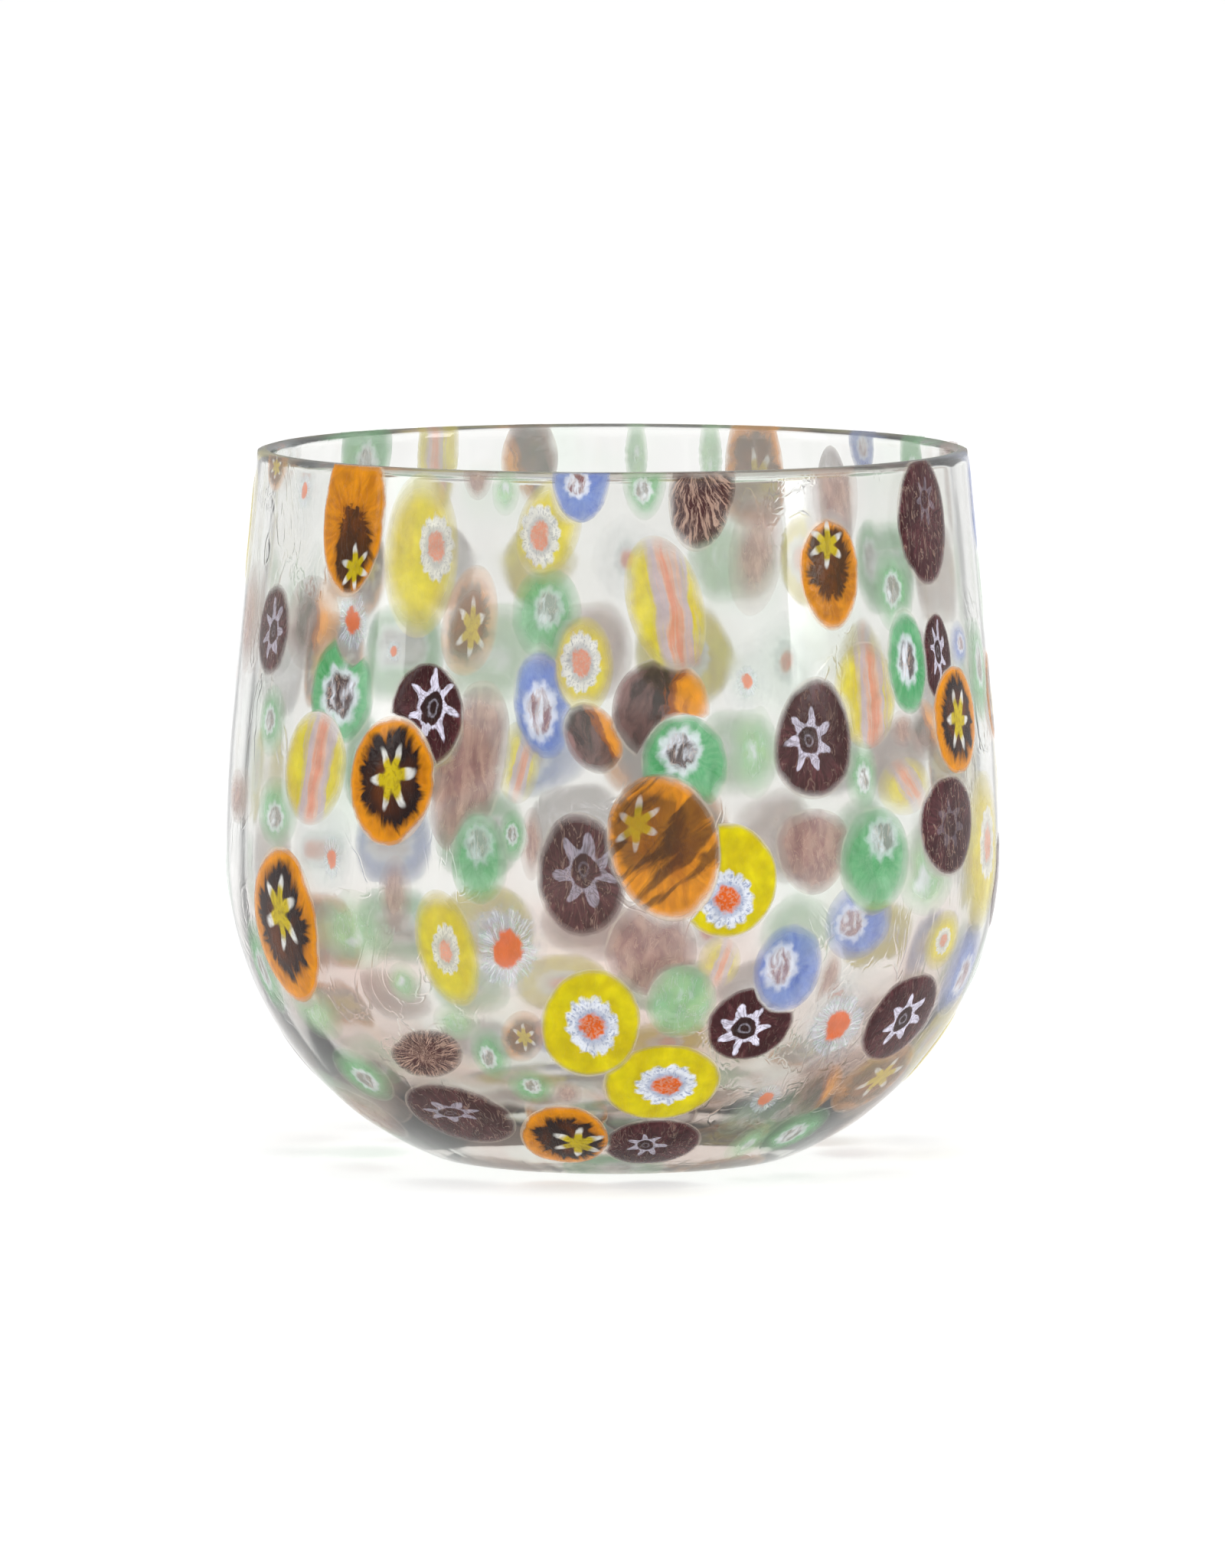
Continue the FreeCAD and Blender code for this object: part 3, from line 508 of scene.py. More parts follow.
def merged_node(node):
    """Points and triangles of a CAD node, with the points that lie together joined."""
    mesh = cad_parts[node].data
    mesh.calc_loop_triangles()
    faces = np.empty(len(mesh.loop_triangles) * 3, int)
    mesh.loop_triangles.foreach_get("vertices", faces)
    grid = np.round(node_points(node) * 1e7).astype(np.int64)
    _, first, joined = np.unique(grid, axis=0, return_index=True, return_inverse=True)
    return node_points(node)[first], joined.ravel()[faces].reshape(-1, 3)


class Outline:
    """One slice's outline on the skin, read from its CAD solid."""

    def __init__(self, skin, points, faces):
        self.skin = skin
        face_depth = 5e-5
        on_face = skin.depth(points) < face_depth
        face = faces[on_face[faces].all(1)]
        corners = points[face]
        areas = np.linalg.norm(
            np.cross(corners[:, 1] - corners[:, 0], corners[:, 2] - corners[:, 0]), axis=1)
        middle = (corners.mean(1) * areas[:, None]).sum(0) / areas.sum()
        self.under = np.hypot(middle[0], middle[1]) < 0.8 * MEASURED["contact_radius"]
        self.under &= middle[2] < 0.02 * MEASURED["height"]
        edges = np.sort(np.concatenate([face[:, [0, 1]], face[:, [1, 2]], face[:, [2, 0]]]), axis=1)
        pairs, uses = np.unique(edges, axis=0, return_counts=True)
        rim = points[np.unique(pairs[uses == 1])]
        if self.under:
            self.middle = (middle[0], middle[1])
            across, up = rim[:, 0] - middle[0], rim[:, 1] - middle[1]
        else:
            turn = math.atan2(middle[0], -middle[1])
            self.middle = (turn, float(skin.distance(middle[None])[0]))
            self.girth = float(skin.path.walk(self.middle[1])[0])
            azimuth = np.arctan2(rim[:, 0], -rim[:, 1]) - turn
            azimuth = (azimuth + math.pi) % (2 * math.pi) - math.pi
            across, up = azimuth * self.girth, skin.distance(rim) - self.middle[1]
        angles = np.arctan2(up, across)
        order = np.argsort(angles)
        self.angles, self.reach = angles[order], np.hypot(across, up)[order]
        self.half = (np.abs(across).max(), np.abs(up).max())

    def radius(self, angle):
        """Distance from the middle to the outline in each direction."""
        return np.interp(angle, self.angles, self.reach, period=2 * math.pi)

    def place(self, across, up):
        """Points and outward directions of places given across and up from the middle."""
        if self.under:
            return self.skin.place_under(self.middle[0] + across, self.middle[1] + up)
        azimuth = self.middle[0] + across / self.girth
        distance = np.clip(self.middle[1] + up, 0.0, self.skin.steps[-1])
        return self.skin.place(azimuth, distance)


def even_angles(columns):
    """Angles that go evenly once round."""
    return np.arange(columns) / columns * 2 * math.pi


def grid_faces(rows, columns):
    """Quads of a grid that is closed round its columns."""
    row, column = np.meshgrid(np.arange(rows - 1), np.arange(columns), indexing="ij")
    after = (column + 1) % columns
    quads = np.stack([row * columns + column, row * columns + after,
                      (row + 1) * columns + after, (row + 1) * columns + column], -1)
    return quads.reshape(-1, 4)


def fan_faces(pole, ring_start, columns, outward):
    """Triangles from a pole to the ring beside it."""
    column = np.arange(columns)
    after = (column + 1) % columns
    sides = (after, column) if outward else (column, after)
    return np.stack([np.full(columns, pole), ring_start + sides[0], ring_start + sides[1]], -1)


def capped_faces(rows, columns, flipped=False):
    """Quads of a grid that is closed round its columns, and the triangles that close its first and
    last rows at two poles, which are the points after the grid's own."""
    poles = rows * columns
    quads = grid_faces(rows, columns)
    triangles = np.concatenate([
        fan_faces(poles, 0, columns, not flipped),
        fan_faces(poles + 1, (rows - 1) * columns, columns, flipped)])
    return quads[:, ::-1] if flipped else quads, triangles


def make_mesh(name, points, quads, triangles):
    """A smooth mesh from whole arrays of points, quads and triangles."""
    mesh = bpy.data.meshes.new(name)
    mesh.from_pydata(points, [], quads.tolist() + triangles.tolist())
    mesh.polygons.foreach_set("use_smooth", np.ones(len(mesh.polygons), bool))
    mesh.update()
    return mesh


def link(name, data):
    """A new object in the scene."""
    item = bpy.data.objects.new(name, data)
    bpy.context.scene.collection.objects.link(item)
    return item


def add_piece(name, mesh, material, slot, *nodes):
    """Puts a finished mesh into the scene as the piece that stands for CAD nodes."""
    if name in bpy.data.objects:
        bpy.data.objects.remove(bpy.data.objects[name])
    piece = link(name, mesh)
    mesh.materials.append(material)
    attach(piece, "root")
    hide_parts(*nodes)
    return piece


def clear_wall_mesh(section, glass):
    """The clear wall: the closed section turned about the axis. Each ring's points are
    (radius sin a, -radius cos a, height), and the wall is moved along its outward direction by
    upright ripples, which are a sum of fine and slow cosines of azimuth and height."""
    path = section.closed(glass.sink)
    rows, columns = glass.along, glass.around
    share = (np.arange(rows) + 0.5) / rows
    distance = share * path.length()
    radius, height, out, up = path.walk(distance)
    azimuth = even_angles(columns)
    fine = np.cos(glass.ripple_count * azimuth[None] + FINE_TWIST * share[:, None])
    slow = np.cos((glass.ripple_count // SLOW_SHARE) * azimuth[None]
                  - SLOW_TWIST * height[:, None] + SLOW_START)
    wave = glass.ripple * (FINE_PART * fine + (1 - FINE_PART) * slow) - glass.ripple
    inner = distance > path.length() - sum(part[5] for part in path.parts[-INNER_PARTS:])
    on_wall = np.clip((height - section.floor) / section.floor, 0.0, 1.0)
    wave *= (on_wall * np.where(inner, 1.0, OUTER_RIPPLE) * np.abs(out))[:, None]
    ring = radius[:, None] + out[:, None] * wave
    level = height[:, None] + up[:, None] * wave
    points = np.stack([ring * np.sin(azimuth), -ring * np.cos(azimuth),
                       level + 0 * azimuth[None]], -1).reshape(-1, 3)
    start, end = path.walk(np.array([0.0, path.length()]))[1]
    points = np.concatenate([points, [[0.0, 0.0, start], [0.0, 0.0, end]]])
    return make_mesh("clear_wall", points, *capped_faces(rows, columns))


def slice_surface(outline, heart, seed, slices):
    """One slice as a closed lens. A place on it has an angle and a share of the way from the middle
    to the outline. Its outer face lies under the skin by the edge drop times the share to the
    twelfth power, with a faint uneven swell, and its inner face bulges inwards by the depth."""
    columns = slices.around
    angle = even_angles(columns) - math.pi
    face = 1 - (1 - np.arange(1, slices.face_rings + 1) / slices.face_rings) ** RING_CROWDING
    back = 1 - np.arange(1, slices.back_rings) / slices.back_rings
    share = np.concatenate([face, back])
    inner = np.concatenate([np.zeros(len(face)), np.ones(len(back))])
    spread = slices.spread + slices.faint_spread * (1 - heart.boldness)
    reach = outline.radius(angle) * spread
    across = np.append(share[:, None] * reach * np.cos(angle), [0.0, 0.0])
    up = np.append(share[:, None] * reach * np.sin(angle), [0.0, 0.0])
    shares = np.append(np.repeat(share, columns), [0.0, 0.0])
    inners = np.append(np.repeat(inner, columns), [0.0, 1.0])
    waves = np.sin(SWELL_WAVES[0] * across + 5 * seed) * np.cos(SWELL_WAVES[1] * up - 3 * seed)
    swell = SWELL_HEIGHT * (0.5 + 0.5 * waves)
    outer_sink = slices.edge_drop * shares ** EDGE_POWER + swell * (1 - shares ** 2)
    bulge = 1 - shares ** BULGE_POWER
    inner_sink = slices.edge_drop + (slices.depth - slices.edge_drop) * bulge
    sink = np.where(inners > 0, inner_sink, outer_sink)
    points, normals = outline.place(across, up)
    points = points - normals * sink[:, None]
    quads, triangles = capped_faces(len(share), columns, flipped=True)
    angles = np.arctan2(up, across)
    disc = np.stack([shares * np.cos(angles), shares * np.sin(angles)], -1)
    turn = math.radians(heart.turn)
    shift = (across / outline.half[0] - heart.across, up / outline.half[1] - heart.up)
    turned = (shift[0] * math.cos(turn) + shift[1] * math.sin(turn),
              shift[1] * math.cos(turn) - shift[0] * math.sin(turn))
    whole = np.ones(len(across))
    core = np.stack([turned[0] / heart.half_width, turned[1] / heart.half_height,
                     heart.showing * whole], -1)
    marks = np.stack([seed * whole, heart.boldness * whole, inners], -1)
    return {"points": points, "quads": quads, "triangles": triangles,
            "disc": disc, "core": core, "marks": marks}


def join_surfaces(surfaces):
    """Several surfaces as one, with each one's vertex numbers moved past those before it."""
    counts = np.cumsum([0] + [len(surface["points"]) for surface in surfaces])
    joined = {key: np.concatenate([surface[key] for surface in surfaces])
              for key in ("points", "disc", "core", "marks")}
    for key in ("quads", "triangles"):
        joined[key] = np.concatenate(
            [surface[key] + start for surface, start in zip(surfaces, counts)])
    return joined


def slice_mesh(name, surface):
    """The mesh of one or more slices, with the disc map and attributes that its material reads."""
    mesh = make_mesh(name, surface["points"], surface["quads"], surface["triangles"])
    corners = np.empty(len(mesh.loops), int)
    mesh.loops.foreach_get("vertex_index", corners)
    disc = mesh.uv_layers.new(name=DISC_MAP)
    disc.data.foreach_set("uv", (surface["disc"][corners] * 0.5 + 0.5).astype(np.float32).ravel())
    for label, values in ((CORE_ATTRIBUTE, surface["core"]), (SLICE_ATTRIBUTE, surface["marks"])):
        attribute = mesh.attributes.new(label, "FLOAT_VECTOR", "POINT")
        attribute.data.foreach_set("vector", values.astype(np.float32).ravel())
    return mesh


def group_heart(kind, number, boldness):
    """Heart of a slice in a group: a little off the middle, and different for each."""
    if kind.endswith("stripe"):
        turn = STRIPE_TURN * math.sin(5.1 * number)
        return STRIPE_HEART._replace(turn=turn, boldness=boldness)
    across = GROUP_SPREAD * math.sin(7.3 * number + 1)
    up = GROUP_SPREAD * math.cos(4.7 * number)
    turn = GROUP_TURN * math.sin(3.1 * number)
    return PLAIN_HEART._replace(across=across, up=up, turn=turn, boldness=boldness)


def build_slices(kind, material):
    """Every piece of one kind of cane: one for each named slice, and one for the kind's group."""
    scene = bpy.context.scene
    slices = scene.murrine_slices
    skin = Skin(Section(scene.murrine_glass))
    for node in sorted(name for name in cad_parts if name.startswith(kind + "_murrin")):
        points, faces = merged_node(node)
        labels = loose_parts(points, faces)
        surfaces = []
        for number, label in enumerate(np.unique(labels[faces])):
            outline = Outline(skin, points, faces[labels[faces[:, 0]] == label])
            if node.endswith("group"):
                to_front = not outline.under and abs(outline.middle[0]) < slices.front_angle
                boldness = slices.front_boldness if to_front else slices.back_boldness
                heart = group_heart(kind, number, boldness)
            else:
                heart = Heart(*HEARTS[kind].get(int(node[-2:]), PLAIN_HEART))
            seed = 10 * math.sin(4.7 * number + 17e3 * outline.half[0])
            surfaces.append(slice_surface(outline, heart, seed, slices))
        if not surfaces:
            raise RuntimeError("CAD node %s holds no slice" % node)
        mesh = slice_mesh("fused_" + node, join_surfaces(surfaces))
        add_piece("fused_" + node, mesh, material, kind + "_cane", node)


class Value:
    """An output of a shader node, which can be added, multiplied and so on like a number."""

    def __init__(self, tree, socket):
        self.tree = tree
        self.socket = socket

    def __add__(self, other):
        return self.tree.math("ADD", self, other)

    def __sub__(self, other):
        return self.tree.math("SUBTRACT", self, other)

    def __rsub__(self, other):
        return self.tree.math("SUBTRACT", other, self)

    def __mul__(self, other):
        return self.tree.math("MULTIPLY", self, other)

    def __pow__(self, other):
        return self.tree.math("POWER", self, other)

    def __abs__(self):
        return self.tree.math("ABSOLUTE", self)


class Tree:
    """A shader node tree, with short ways to add nodes to it."""

    def __init__(self, tree):
        self.tree = tree

    def values(self, sockets):
        """Sockets as values, found by number and by name."""
        found = {number: Value(self, socket) for number, socket in enumerate(sockets)}
        found.update({socket.name: found[number] for number, socket in enumerate(sockets)})
        return found

    def feed(self, socket, value):
        """Sets an input to a number or a colour, or links it to the value that feeds it."""
        if isinstance(value, Value):
            self.tree.links.new(value.socket, socket)
        else:
            socket.default_value = value

    def add(self, kind, inputs=None, **settings):
        """Adds a node with its inputs and settings, and gives its outputs."""
        node = self.tree.nodes.new(kind)
        number = len(self.tree.nodes)
        node.location = (NODE_STEP[0] * (number % NODE_ROW), -NODE_STEP[1] * (number // NODE_ROW))
        for name, value in settings.items():
            setattr(node, name, value)
        for key, value in (inputs or {}).items():
            self.feed(node.inputs[key], value)
        return self.values(node.outputs)

    def math(self, operation, first, second=0.0):
        """A number worked out from one or two others."""
        return self.add("ShaderNodeMath", {0: first, 1: second}, operation=operation)[0]

    def larger(self, first, second):
        """The larger of two numbers."""
        return self.math("MAXIMUM", first, second)

    def step(self, value, low, high, start=0.0, end=1.0):
        """A smooth step from one number to another as a value goes from low to high."""
        inputs = {"Value": value, "From Min": low, "From Max": high, "To Min": start, "To Max": end}
        return self.add("ShaderNodeMapRange", inputs, interpolation_type="SMOOTHSTEP")["Result"]

    def blend(self, share, first, second):
        """A colour between two, by a share from 0 to 1."""
        first, second = [value if isinstance(value, Value) else (*value[:3], 1.0)
                         for value in (first, second)]
        inputs = {0: share, 6: first, 7: second}
        return self.add("ShaderNodeMix", inputs, data_type="RGBA", clamp_factor=True)[2]

    def noise(self, vector, scale, detail=2.0, distortion=0.0):
        """Smooth noise from 0 to 1 over a vector."""
        inputs = {"Vector": vector, "Scale": scale, "Detail": detail, "Distortion": distortion}
        return self.add("ShaderNodeTexNoise", inputs)["Fac"]

    def join(self, across, up, deep=0.0):
        """A vector from three numbers."""
        return self.add("ShaderNodeCombineXYZ", {0: across, 1: up, 2: deep})[0]

    def split(self, vector):
        """The three numbers of a vector."""
        numbers = self.add("ShaderNodeSeparateXYZ", {0: vector})
        return numbers[0], numbers[1], numbers[2]

    def place(self, build, **inputs):
        """A copy of the node group that a function builds, with its own values."""
        inputs = {name.replace("_", " "): value for name, value in inputs.items()}
        return self.add("ShaderNodeGroup", inputs, node_tree=shared_group(build, inputs))

    def object_place(self):
        """The place on the object, as a vector."""
        return self.add("ShaderNodeTexCoord")["Object"]


def new_material(name):
    """An empty material and its tree."""
    material = bpy.data.materials.new(name)
    material.use_nodes = True
    material.node_tree.nodes.clear()
    return material, Tree(material.node_tree)


def socket_kind(label):
    """Colours have a socket kind of their own, and every other value is a number."""
    return "NodeSocketColor" if label in ("Colour", "Line") else "NodeSocketFloat"


def shared_group(build, labels):
    """A node group that is built once and then found again by its name. The build function gets
    the tree and its inputs by label, and gives its outputs by label."""
    name = build.__name__.replace("_", " ").title()
    if name in bpy.data.node_groups:
        return bpy.data.node_groups[name]
    group = bpy.data.node_groups.new(name, "ShaderNodeTree")
    for label in labels:
        group.interface.new_socket(label, in_out="INPUT", socket_type=socket_kind(label))
    tree = Tree(group)
    results = build(tree, tree.add("NodeGroupInput"))
    for label in results:
        group.interface.new_socket(label, in_out="OUTPUT", socket_type=socket_kind(label))
    tree.add("NodeGroupOutput", results)
    return group


def cane_lines(tree, given):
    """Coordinates of a slice's pattern, made uneven as hot glass flows: share of the way out and
    angle about the middle, then the same about the heart, and the slice's own marks."""
    def polar(first, second):
        squares = first * first + second * second
        return tree.math("SQRT", squares), tree.math("ARCTAN2", second, first)

    across, up, _ = tree.split(tree.add("ShaderNodeUVMap", uv_map=DISC_MAP)[0])
    across = across * 2.0 - 1.0
    up = up * 2.0 - 1.0
    core = tree.add("ShaderNodeAttribute", attribute_name=CORE_ATTRIBUTE)["Vector"]
    marks = tree.add("ShaderNodeAttribute", attribute_name=SLICE_ATTRIBUTE)["Vector"]
    seed, boldness, inner = tree.split(marks)
    heart_across, heart_up, showing = tree.split(core)
    shift = {"Vector": tree.join(across, up, seed), "Scale": 1.7, "Detail": 3.0}
    shift_across, shift_up, _ = tree.split(tree.add("ShaderNodeTexNoise", shift)["Color"])
    shift_across = shift_across - 0.5
    shift_up = shift_up - 0.5
    wide = shift_across * given["Flow"] + across
    high = shift_up * given["Flow"] + up
    heart_wide = shift_up * given["Heart Flow"] + heart_across
    heart_high = shift_across * given["Heart Flow"] + heart_up
    rim, angle = polar(wide, high)
    heart, heart_angle = polar(heart_wide, heart_high)
    return {"Rim": rim, "Angle": angle, "Heart": heart, "Heart Angle": heart_angle,
            "Across": heart_wide, "Up": heart_high, "Showing": showing, "Seed": seed,
            "Boldness": boldness, "Inner": inner, "Wide": wide, "High": high}


def star_points(tree, given):
    """Mask of a star: its edge runs in and out between a valley and 1 as the angle goes round."""
    phase = given["Angle"] * given["Points"] + given["Turn"]
    spike = abs(tree.math("COSINE", phase * 0.5)) ** given["Sharpness"]
    edge = spike * (1.0 - given["Valley"]) + given["Valley"]
    soft = given["Softness"]
    return {"Mask": tree.step(edge - given["Radius"], soft * -1.0, soft)}


def cane_ring(tree, given):
    """Mask of a band between two radii with soft edges."""
    radius, soft = given["Radius"], given["Softness"]
    inside = tree.step(radius, given["Start"] - soft, given["Start"] + soft)
    outside = tree.step(radius, given["End"] - soft, given["End"] + soft, 1.0, 0.0)
    return {"Mask": inside * outside}


def drawn_fibres(tree, given):
    """Fine streaks that run out from the middle, as pulled cane shows them, from 0 to 1."""
    open_out = tree.step(given["Radius"], 0.0, 0.4)
    sine = tree.math("SINE", given["Angle"]) * open_out
    cosine = tree.math("COSINE", given["Angle"]) * open_out
    count = given["Count"]
    length = given["Radius"] * given["Length"] + given["Seed"]
    fine = tree.noise(tree.join(sine * count, cosine * count, length), 1.6, 5.0, 0.4)
    broad = tree.noise(tree.join(sine, cosine, length), 1.1, 2.0)
    return {"Fibre": tree.step(fine, 0.3, 0.7), "Patch": tree.step(broad, 0.3, 0.7)}


def fired_skin(tree, given):
    """Height of a slice's fired face: folded creases of the drawn glass, waves and fine pits."""
    place = tree.object_place()
    flat = tree.join(given["Wide"], given["High"] * 0.6, given["Seed"])
    drawn = tree.join(given["Wide"] * 2.6, given["High"] * 0.7, given["Seed"])
    folds = tree.noise(drawn, 2.6, 3.0, 0.9)
    crease = tree.step(abs(folds - 0.5), 0.0, 0.03, 1.0, 0.0)
    pits = tree.noise(place, 1500.0, 3.0)
    waves = tree.noise(place, 260.0, 2.0)
    cloud = tree.noise(flat, 1.8, 4.0, 0.8)
    return {"Height": waves * 0.6 + (pits * 0.35 + crease * given["Creases"]), "Crease": crease,
            "Cloud": tree.step(cloud, 0.35, 0.65)}


def melted_edge(tree, given):
    """Colour and clearness near a slice's outline: the colour thins to a bright line there. A
    faint slice fades further in, and the inner face is a little paler, because clear glass has
    flowed over it. Uneven fusing makes the colour lighter and darker in small patches."""
    uneven = tree.noise(tree.object_place(), 420.0, 4.0) * 0.7 + 0.65
    mottled = tree.add("ShaderNodeHueSaturation",
                       {"Color": given["Colour"], "Value": uneven, "Saturation": 1.04})[0]
    bold, inner = given["Boldness"], given["Inner"]
    weak = 1.0 - bold
    # Painted highlight: a bright cream line just inside the outline, standing in for light caught at
    # the slice's edge.
    line = tree.step(given["Rim"], 0.955, 0.99, 0.0, 0.55)
    shade = tree.blend(line * bold, mottled, given["Line"])
    pale = weak * 0.3 + inner * 0.12
    fade = tree.step(given["Rim"], weak * -1.1 + given["Melt"], 1.0, 1.0, bold * 0.35)
    thin = weak * -0.3 + 1.0
    haze = 1.0 - inner * given["Haze"]
    return {"Colour": tree.blend(pale, shade, given["Line"]),
            "Cover": given["Cover"] * fade * thin * haze}


class Cane:
    """A slice material in the making: its tree, its pattern lines and its last steps."""

    def __init__(self, name, flow, heart_flow, creases=0.5):
        self.material, self.tree = new_material(name)
        self.slices = bpy.context.scene.murrine_slices
        self.lines = self.tree.place(cane_lines, Flow=flow, Heart_Flow=heart_flow)
        self.skin = self.tree.place(fired_skin, Wide=self.lines["Wide"], High=self.lines["High"],
                                    Seed=self.lines["Seed"], Creases=creases)
        self.rim, self.heart = self.lines["Rim"], self.lines["Heart"]
        self.across, self.up = self.lines["Across"], self.lines["Up"]
        self.seed, self.showing = self.lines["Seed"], self.lines["Showing"]
        self.crease, self.cloud = self.skin["Crease"], self.skin["Cloud"]

    def colour(self, name):
        """A colour of the settings."""
        return (*getattr(self.slices, name), 1.0)

    def blend(self, share, first, second):
        """Mixes two colours, each a value or the name of a colour of the settings."""
        first, second = [self.colour(value) if isinstance(value, str) else value
                         for value in (first, second)]
        return self.tree.blend(share, first, second)

    def bands(self, place, colour, bands):
        """Bands side by side: each (low, high, strength, colour) takes over between two places."""
        for low, high, strength, band in bands:
            colour = self.blend(self.tree.step(place, low, high, 0.0, strength), colour, band)
        return colour

    def star(self, radius, points, valley, sharpness, softness):
        """Mask of a star about the slice's heart, turned by the slice's seed."""
        return self.tree.place(
            star_points, Radius=radius, Angle=self.lines["Heart Angle"], Turn=self.seed,
            Points=points, Valley=valley, Sharpness=sharpness, Softness=softness)["Mask"]

    def ring(self, start, end, softness):
        """Mask of a soft band round the slice's heart."""
        return self.tree.place(cane_ring, Radius=self.heart, Start=start, End=end,
                               Softness=softness)["Mask"]

    def fibres(self, count, length, about="Rim"):
        """Streak and patch masks that run out from the slice's middle or its heart."""
        angle = self.lines["Heart Angle" if about == "Heart" else "Angle"]
        return self.tree.place(drawn_fibres, Radius=self.lines[about], Angle=angle,
                               Seed=self.seed, Count=count, Length=length)

    def lace(self, scale, detail=2.0, distortion=0.0):
        """Noise about the slice's heart, different for each slice."""
        place = self.tree.join(self.across, self.up, self.seed)
        return self.tree.noise(place, scale, detail, distortion)

    def grain(self, across=5.0, up=0.8, scale=1.6):
        """Noise drawn out along the cane, for slices that show it from the side."""
        place = self.tree.join(self.across * across, self.up * up, self.seed)
        return self.tree.noise(place, scale, 4.0, 0.4)

    def finish(self, colour, cover, melt=0.88, painted_glow=0.10, relief=0.5, haze=0.38):
        """Fades the edge, raises the fired skin and joins all to the glass shader."""
        tree = self.tree
        # Line is the colour of the painted highlight along the slice's edge.
        edge = tree.place(melted_edge, Colour=colour, Line=self.colour("cream"), Rim=self.rim,
                          Boldness=self.lines["Boldness"], Inner=self.lines["Inner"],
                          Cover=cover, Melt=melt, Haze=haze)
        bump = tree.add("ShaderNodeBump", {
            "Height": self.skin["Height"], "Strength": relief, "Distance": SKIN_RELIEF})
        behind = tree.add("ShaderNodeNewGeometry")["Backfacing"]
        # Painted glow: emission in the slice's own colour, standing in for light that shines through
        # the slice from behind.
        shader = tree.add("ShaderNodeBsdfPrincipled", {
            "Base Color": edge["Colour"], "Alpha": edge["Cover"] * (behind * -haze + 1.0),
            "Roughness": tree.step(self.crease, 0.0, 1.0, FACE_ROUGHNESS, CREASE_ROUGHNESS),
            "Normal": bump[0], "IOR": GLASS_IOR, "Specular IOR Level": 0.14,
            "Emission Color": edge["Colour"], "Emission Strength": painted_glow})
        tree.add("ShaderNodeOutputMaterial", {"Surface": shader[0]})
        return self.material


def amber_star_cane():
    """Clear amber round a frayed dark ring, with a yellow star whose tips are white."""
    cane = Cane("Amber Star Cane", 0.26, 0.5, creases=0.35)
    step, heart, showing = cane.tree.step, cane.heart, cane.showing
    streak = cane.fibres(3.2, 1.2)
    amber = cane.blend(streak["Fibre"] * 0.5, "amber", "toffee")
    amber = cane.blend(step(cane.rim, 0.8, 0.9, 0.0, 0.8), amber, "amber")
    frayed = streak["Fibre"] * 0.18 + (heart * 0.19 + cane.rim * 0.62)
    frayed = streak["Patch"] * 0.14 + frayed
    dark = step(frayed, 0.78, 0.98, 1.0, 0.0) * (showing * 0.7 + 0.3)
    colour = cane.blend(dark, amber, "bitter")
    gleam = cane.cloud * step(cane.rim, 0.7, 0.3)
    colour = cane.blend(gleam * (showing * -0.5 + 0.85), colour, "toffee")
    folded = step(cane.grain(0.25, 1.0, 1.1), 0.47, 0.56) * (1.0 - showing)
    colour = cane.blend(folded * 1.4, colour, "bitter")
    torn = step(streak["Fibre"], 0.0, 0.6, 0.7, 1.0)
    star = cane.star(heart, 6.0, 0.40, 3.0, 0.12) * torn * showing
    tips = step(heart, 0.55, 0.8, 0.0, 0.8)
    colour = cane.blend(star, colour, cane.blend(tips, "mustard", "petal"))
    return cane.finish(colour, 0.99, painted_glow=0.08)


def amber_stripe_cane():
    """Amber cane seen from its side: smoky, brown and amber bands."""
    cane = Cane("Amber Stripe Cane", 0.24, 0.5)
    dark = cane.blend(cane.cloud * 0.5, "bitter", "smoke")
    colour = cane.bands(cane.grain() * 0.6 + cane.across, "smoke", (
        (-0.5, -0.15, 1.0, dark), (0.44, 0.62, 1.0, "toffee"), (0.62, 0.9, 1.0, "amber")))
    return cane.finish(colour, 0.9, melt=0.8)


def aubergine_star_cane():
    """Nearly black purple with fine pale creases, a thin white ring and seven white points."""
    cane = Cane("Aubergine Star Cane", 0.16, 0.6, creases=1.0)
    step, heart, showing = cane.tree.step, cane.heart, cane.showing
    streak = cane.fibres(7.0, 2.6)["Fibre"]
    colour = cane.blend(cane.cloud * streak * 0.5, "aubergine", "plum")
    colour = cane.blend(step(cane.rim, 0.84, 1.0, 0.0, 0.4), colour, "plum")
    # The creases are real relief of the fired face; their pale colour is a painted highlight along
    # the folds.
    colour = cane.blend(cane.crease * (showing * -0.3 + 0.42), colour, "blush")
    colour = cane.blend(step(heart, 0.3, 0.5, 0.75, 0.0) * showing, colour, "bitter")
    points = cane.star(heart, 7.0, 0.53, 3.2, 0.05) * step(heart, 0.40, 0.46)
    white = cane.tree.larger(points, cane.ring(0.13, 0.19, 0.04) * 0.35)
    torn = step(streak, 0.1, 0.7, 0.5, 1.0)
    colour = cane.blend(white * torn * showing, colour, "lilac")
    return cane.finish(colour, 0.99, painted_glow=0.02, relief=0.8, haze=0.65)


def flower_masks(cane, teeth, frill):
    """Masks of a flower about the heart: its lacy petals, the rays in them, its eye and flecks."""
    step = cane.tree.step
    lace = cane.lace(5.5, 4.0, 0.5)
    petals = cane.star(lace * frill + cane.heart, teeth, 0.90, 1.2, 0.07)
    rays = cane.fibres(9.0, 1.2, "Heart")["Fibre"]
    eye = step(lace * 0.3 + cane.heart, 0.46, 0.62, 1.0, 0.0)
    flecks = step(cane.lace(11.0), 0.44, 0.6)
    return petals, rays, eye, flecks


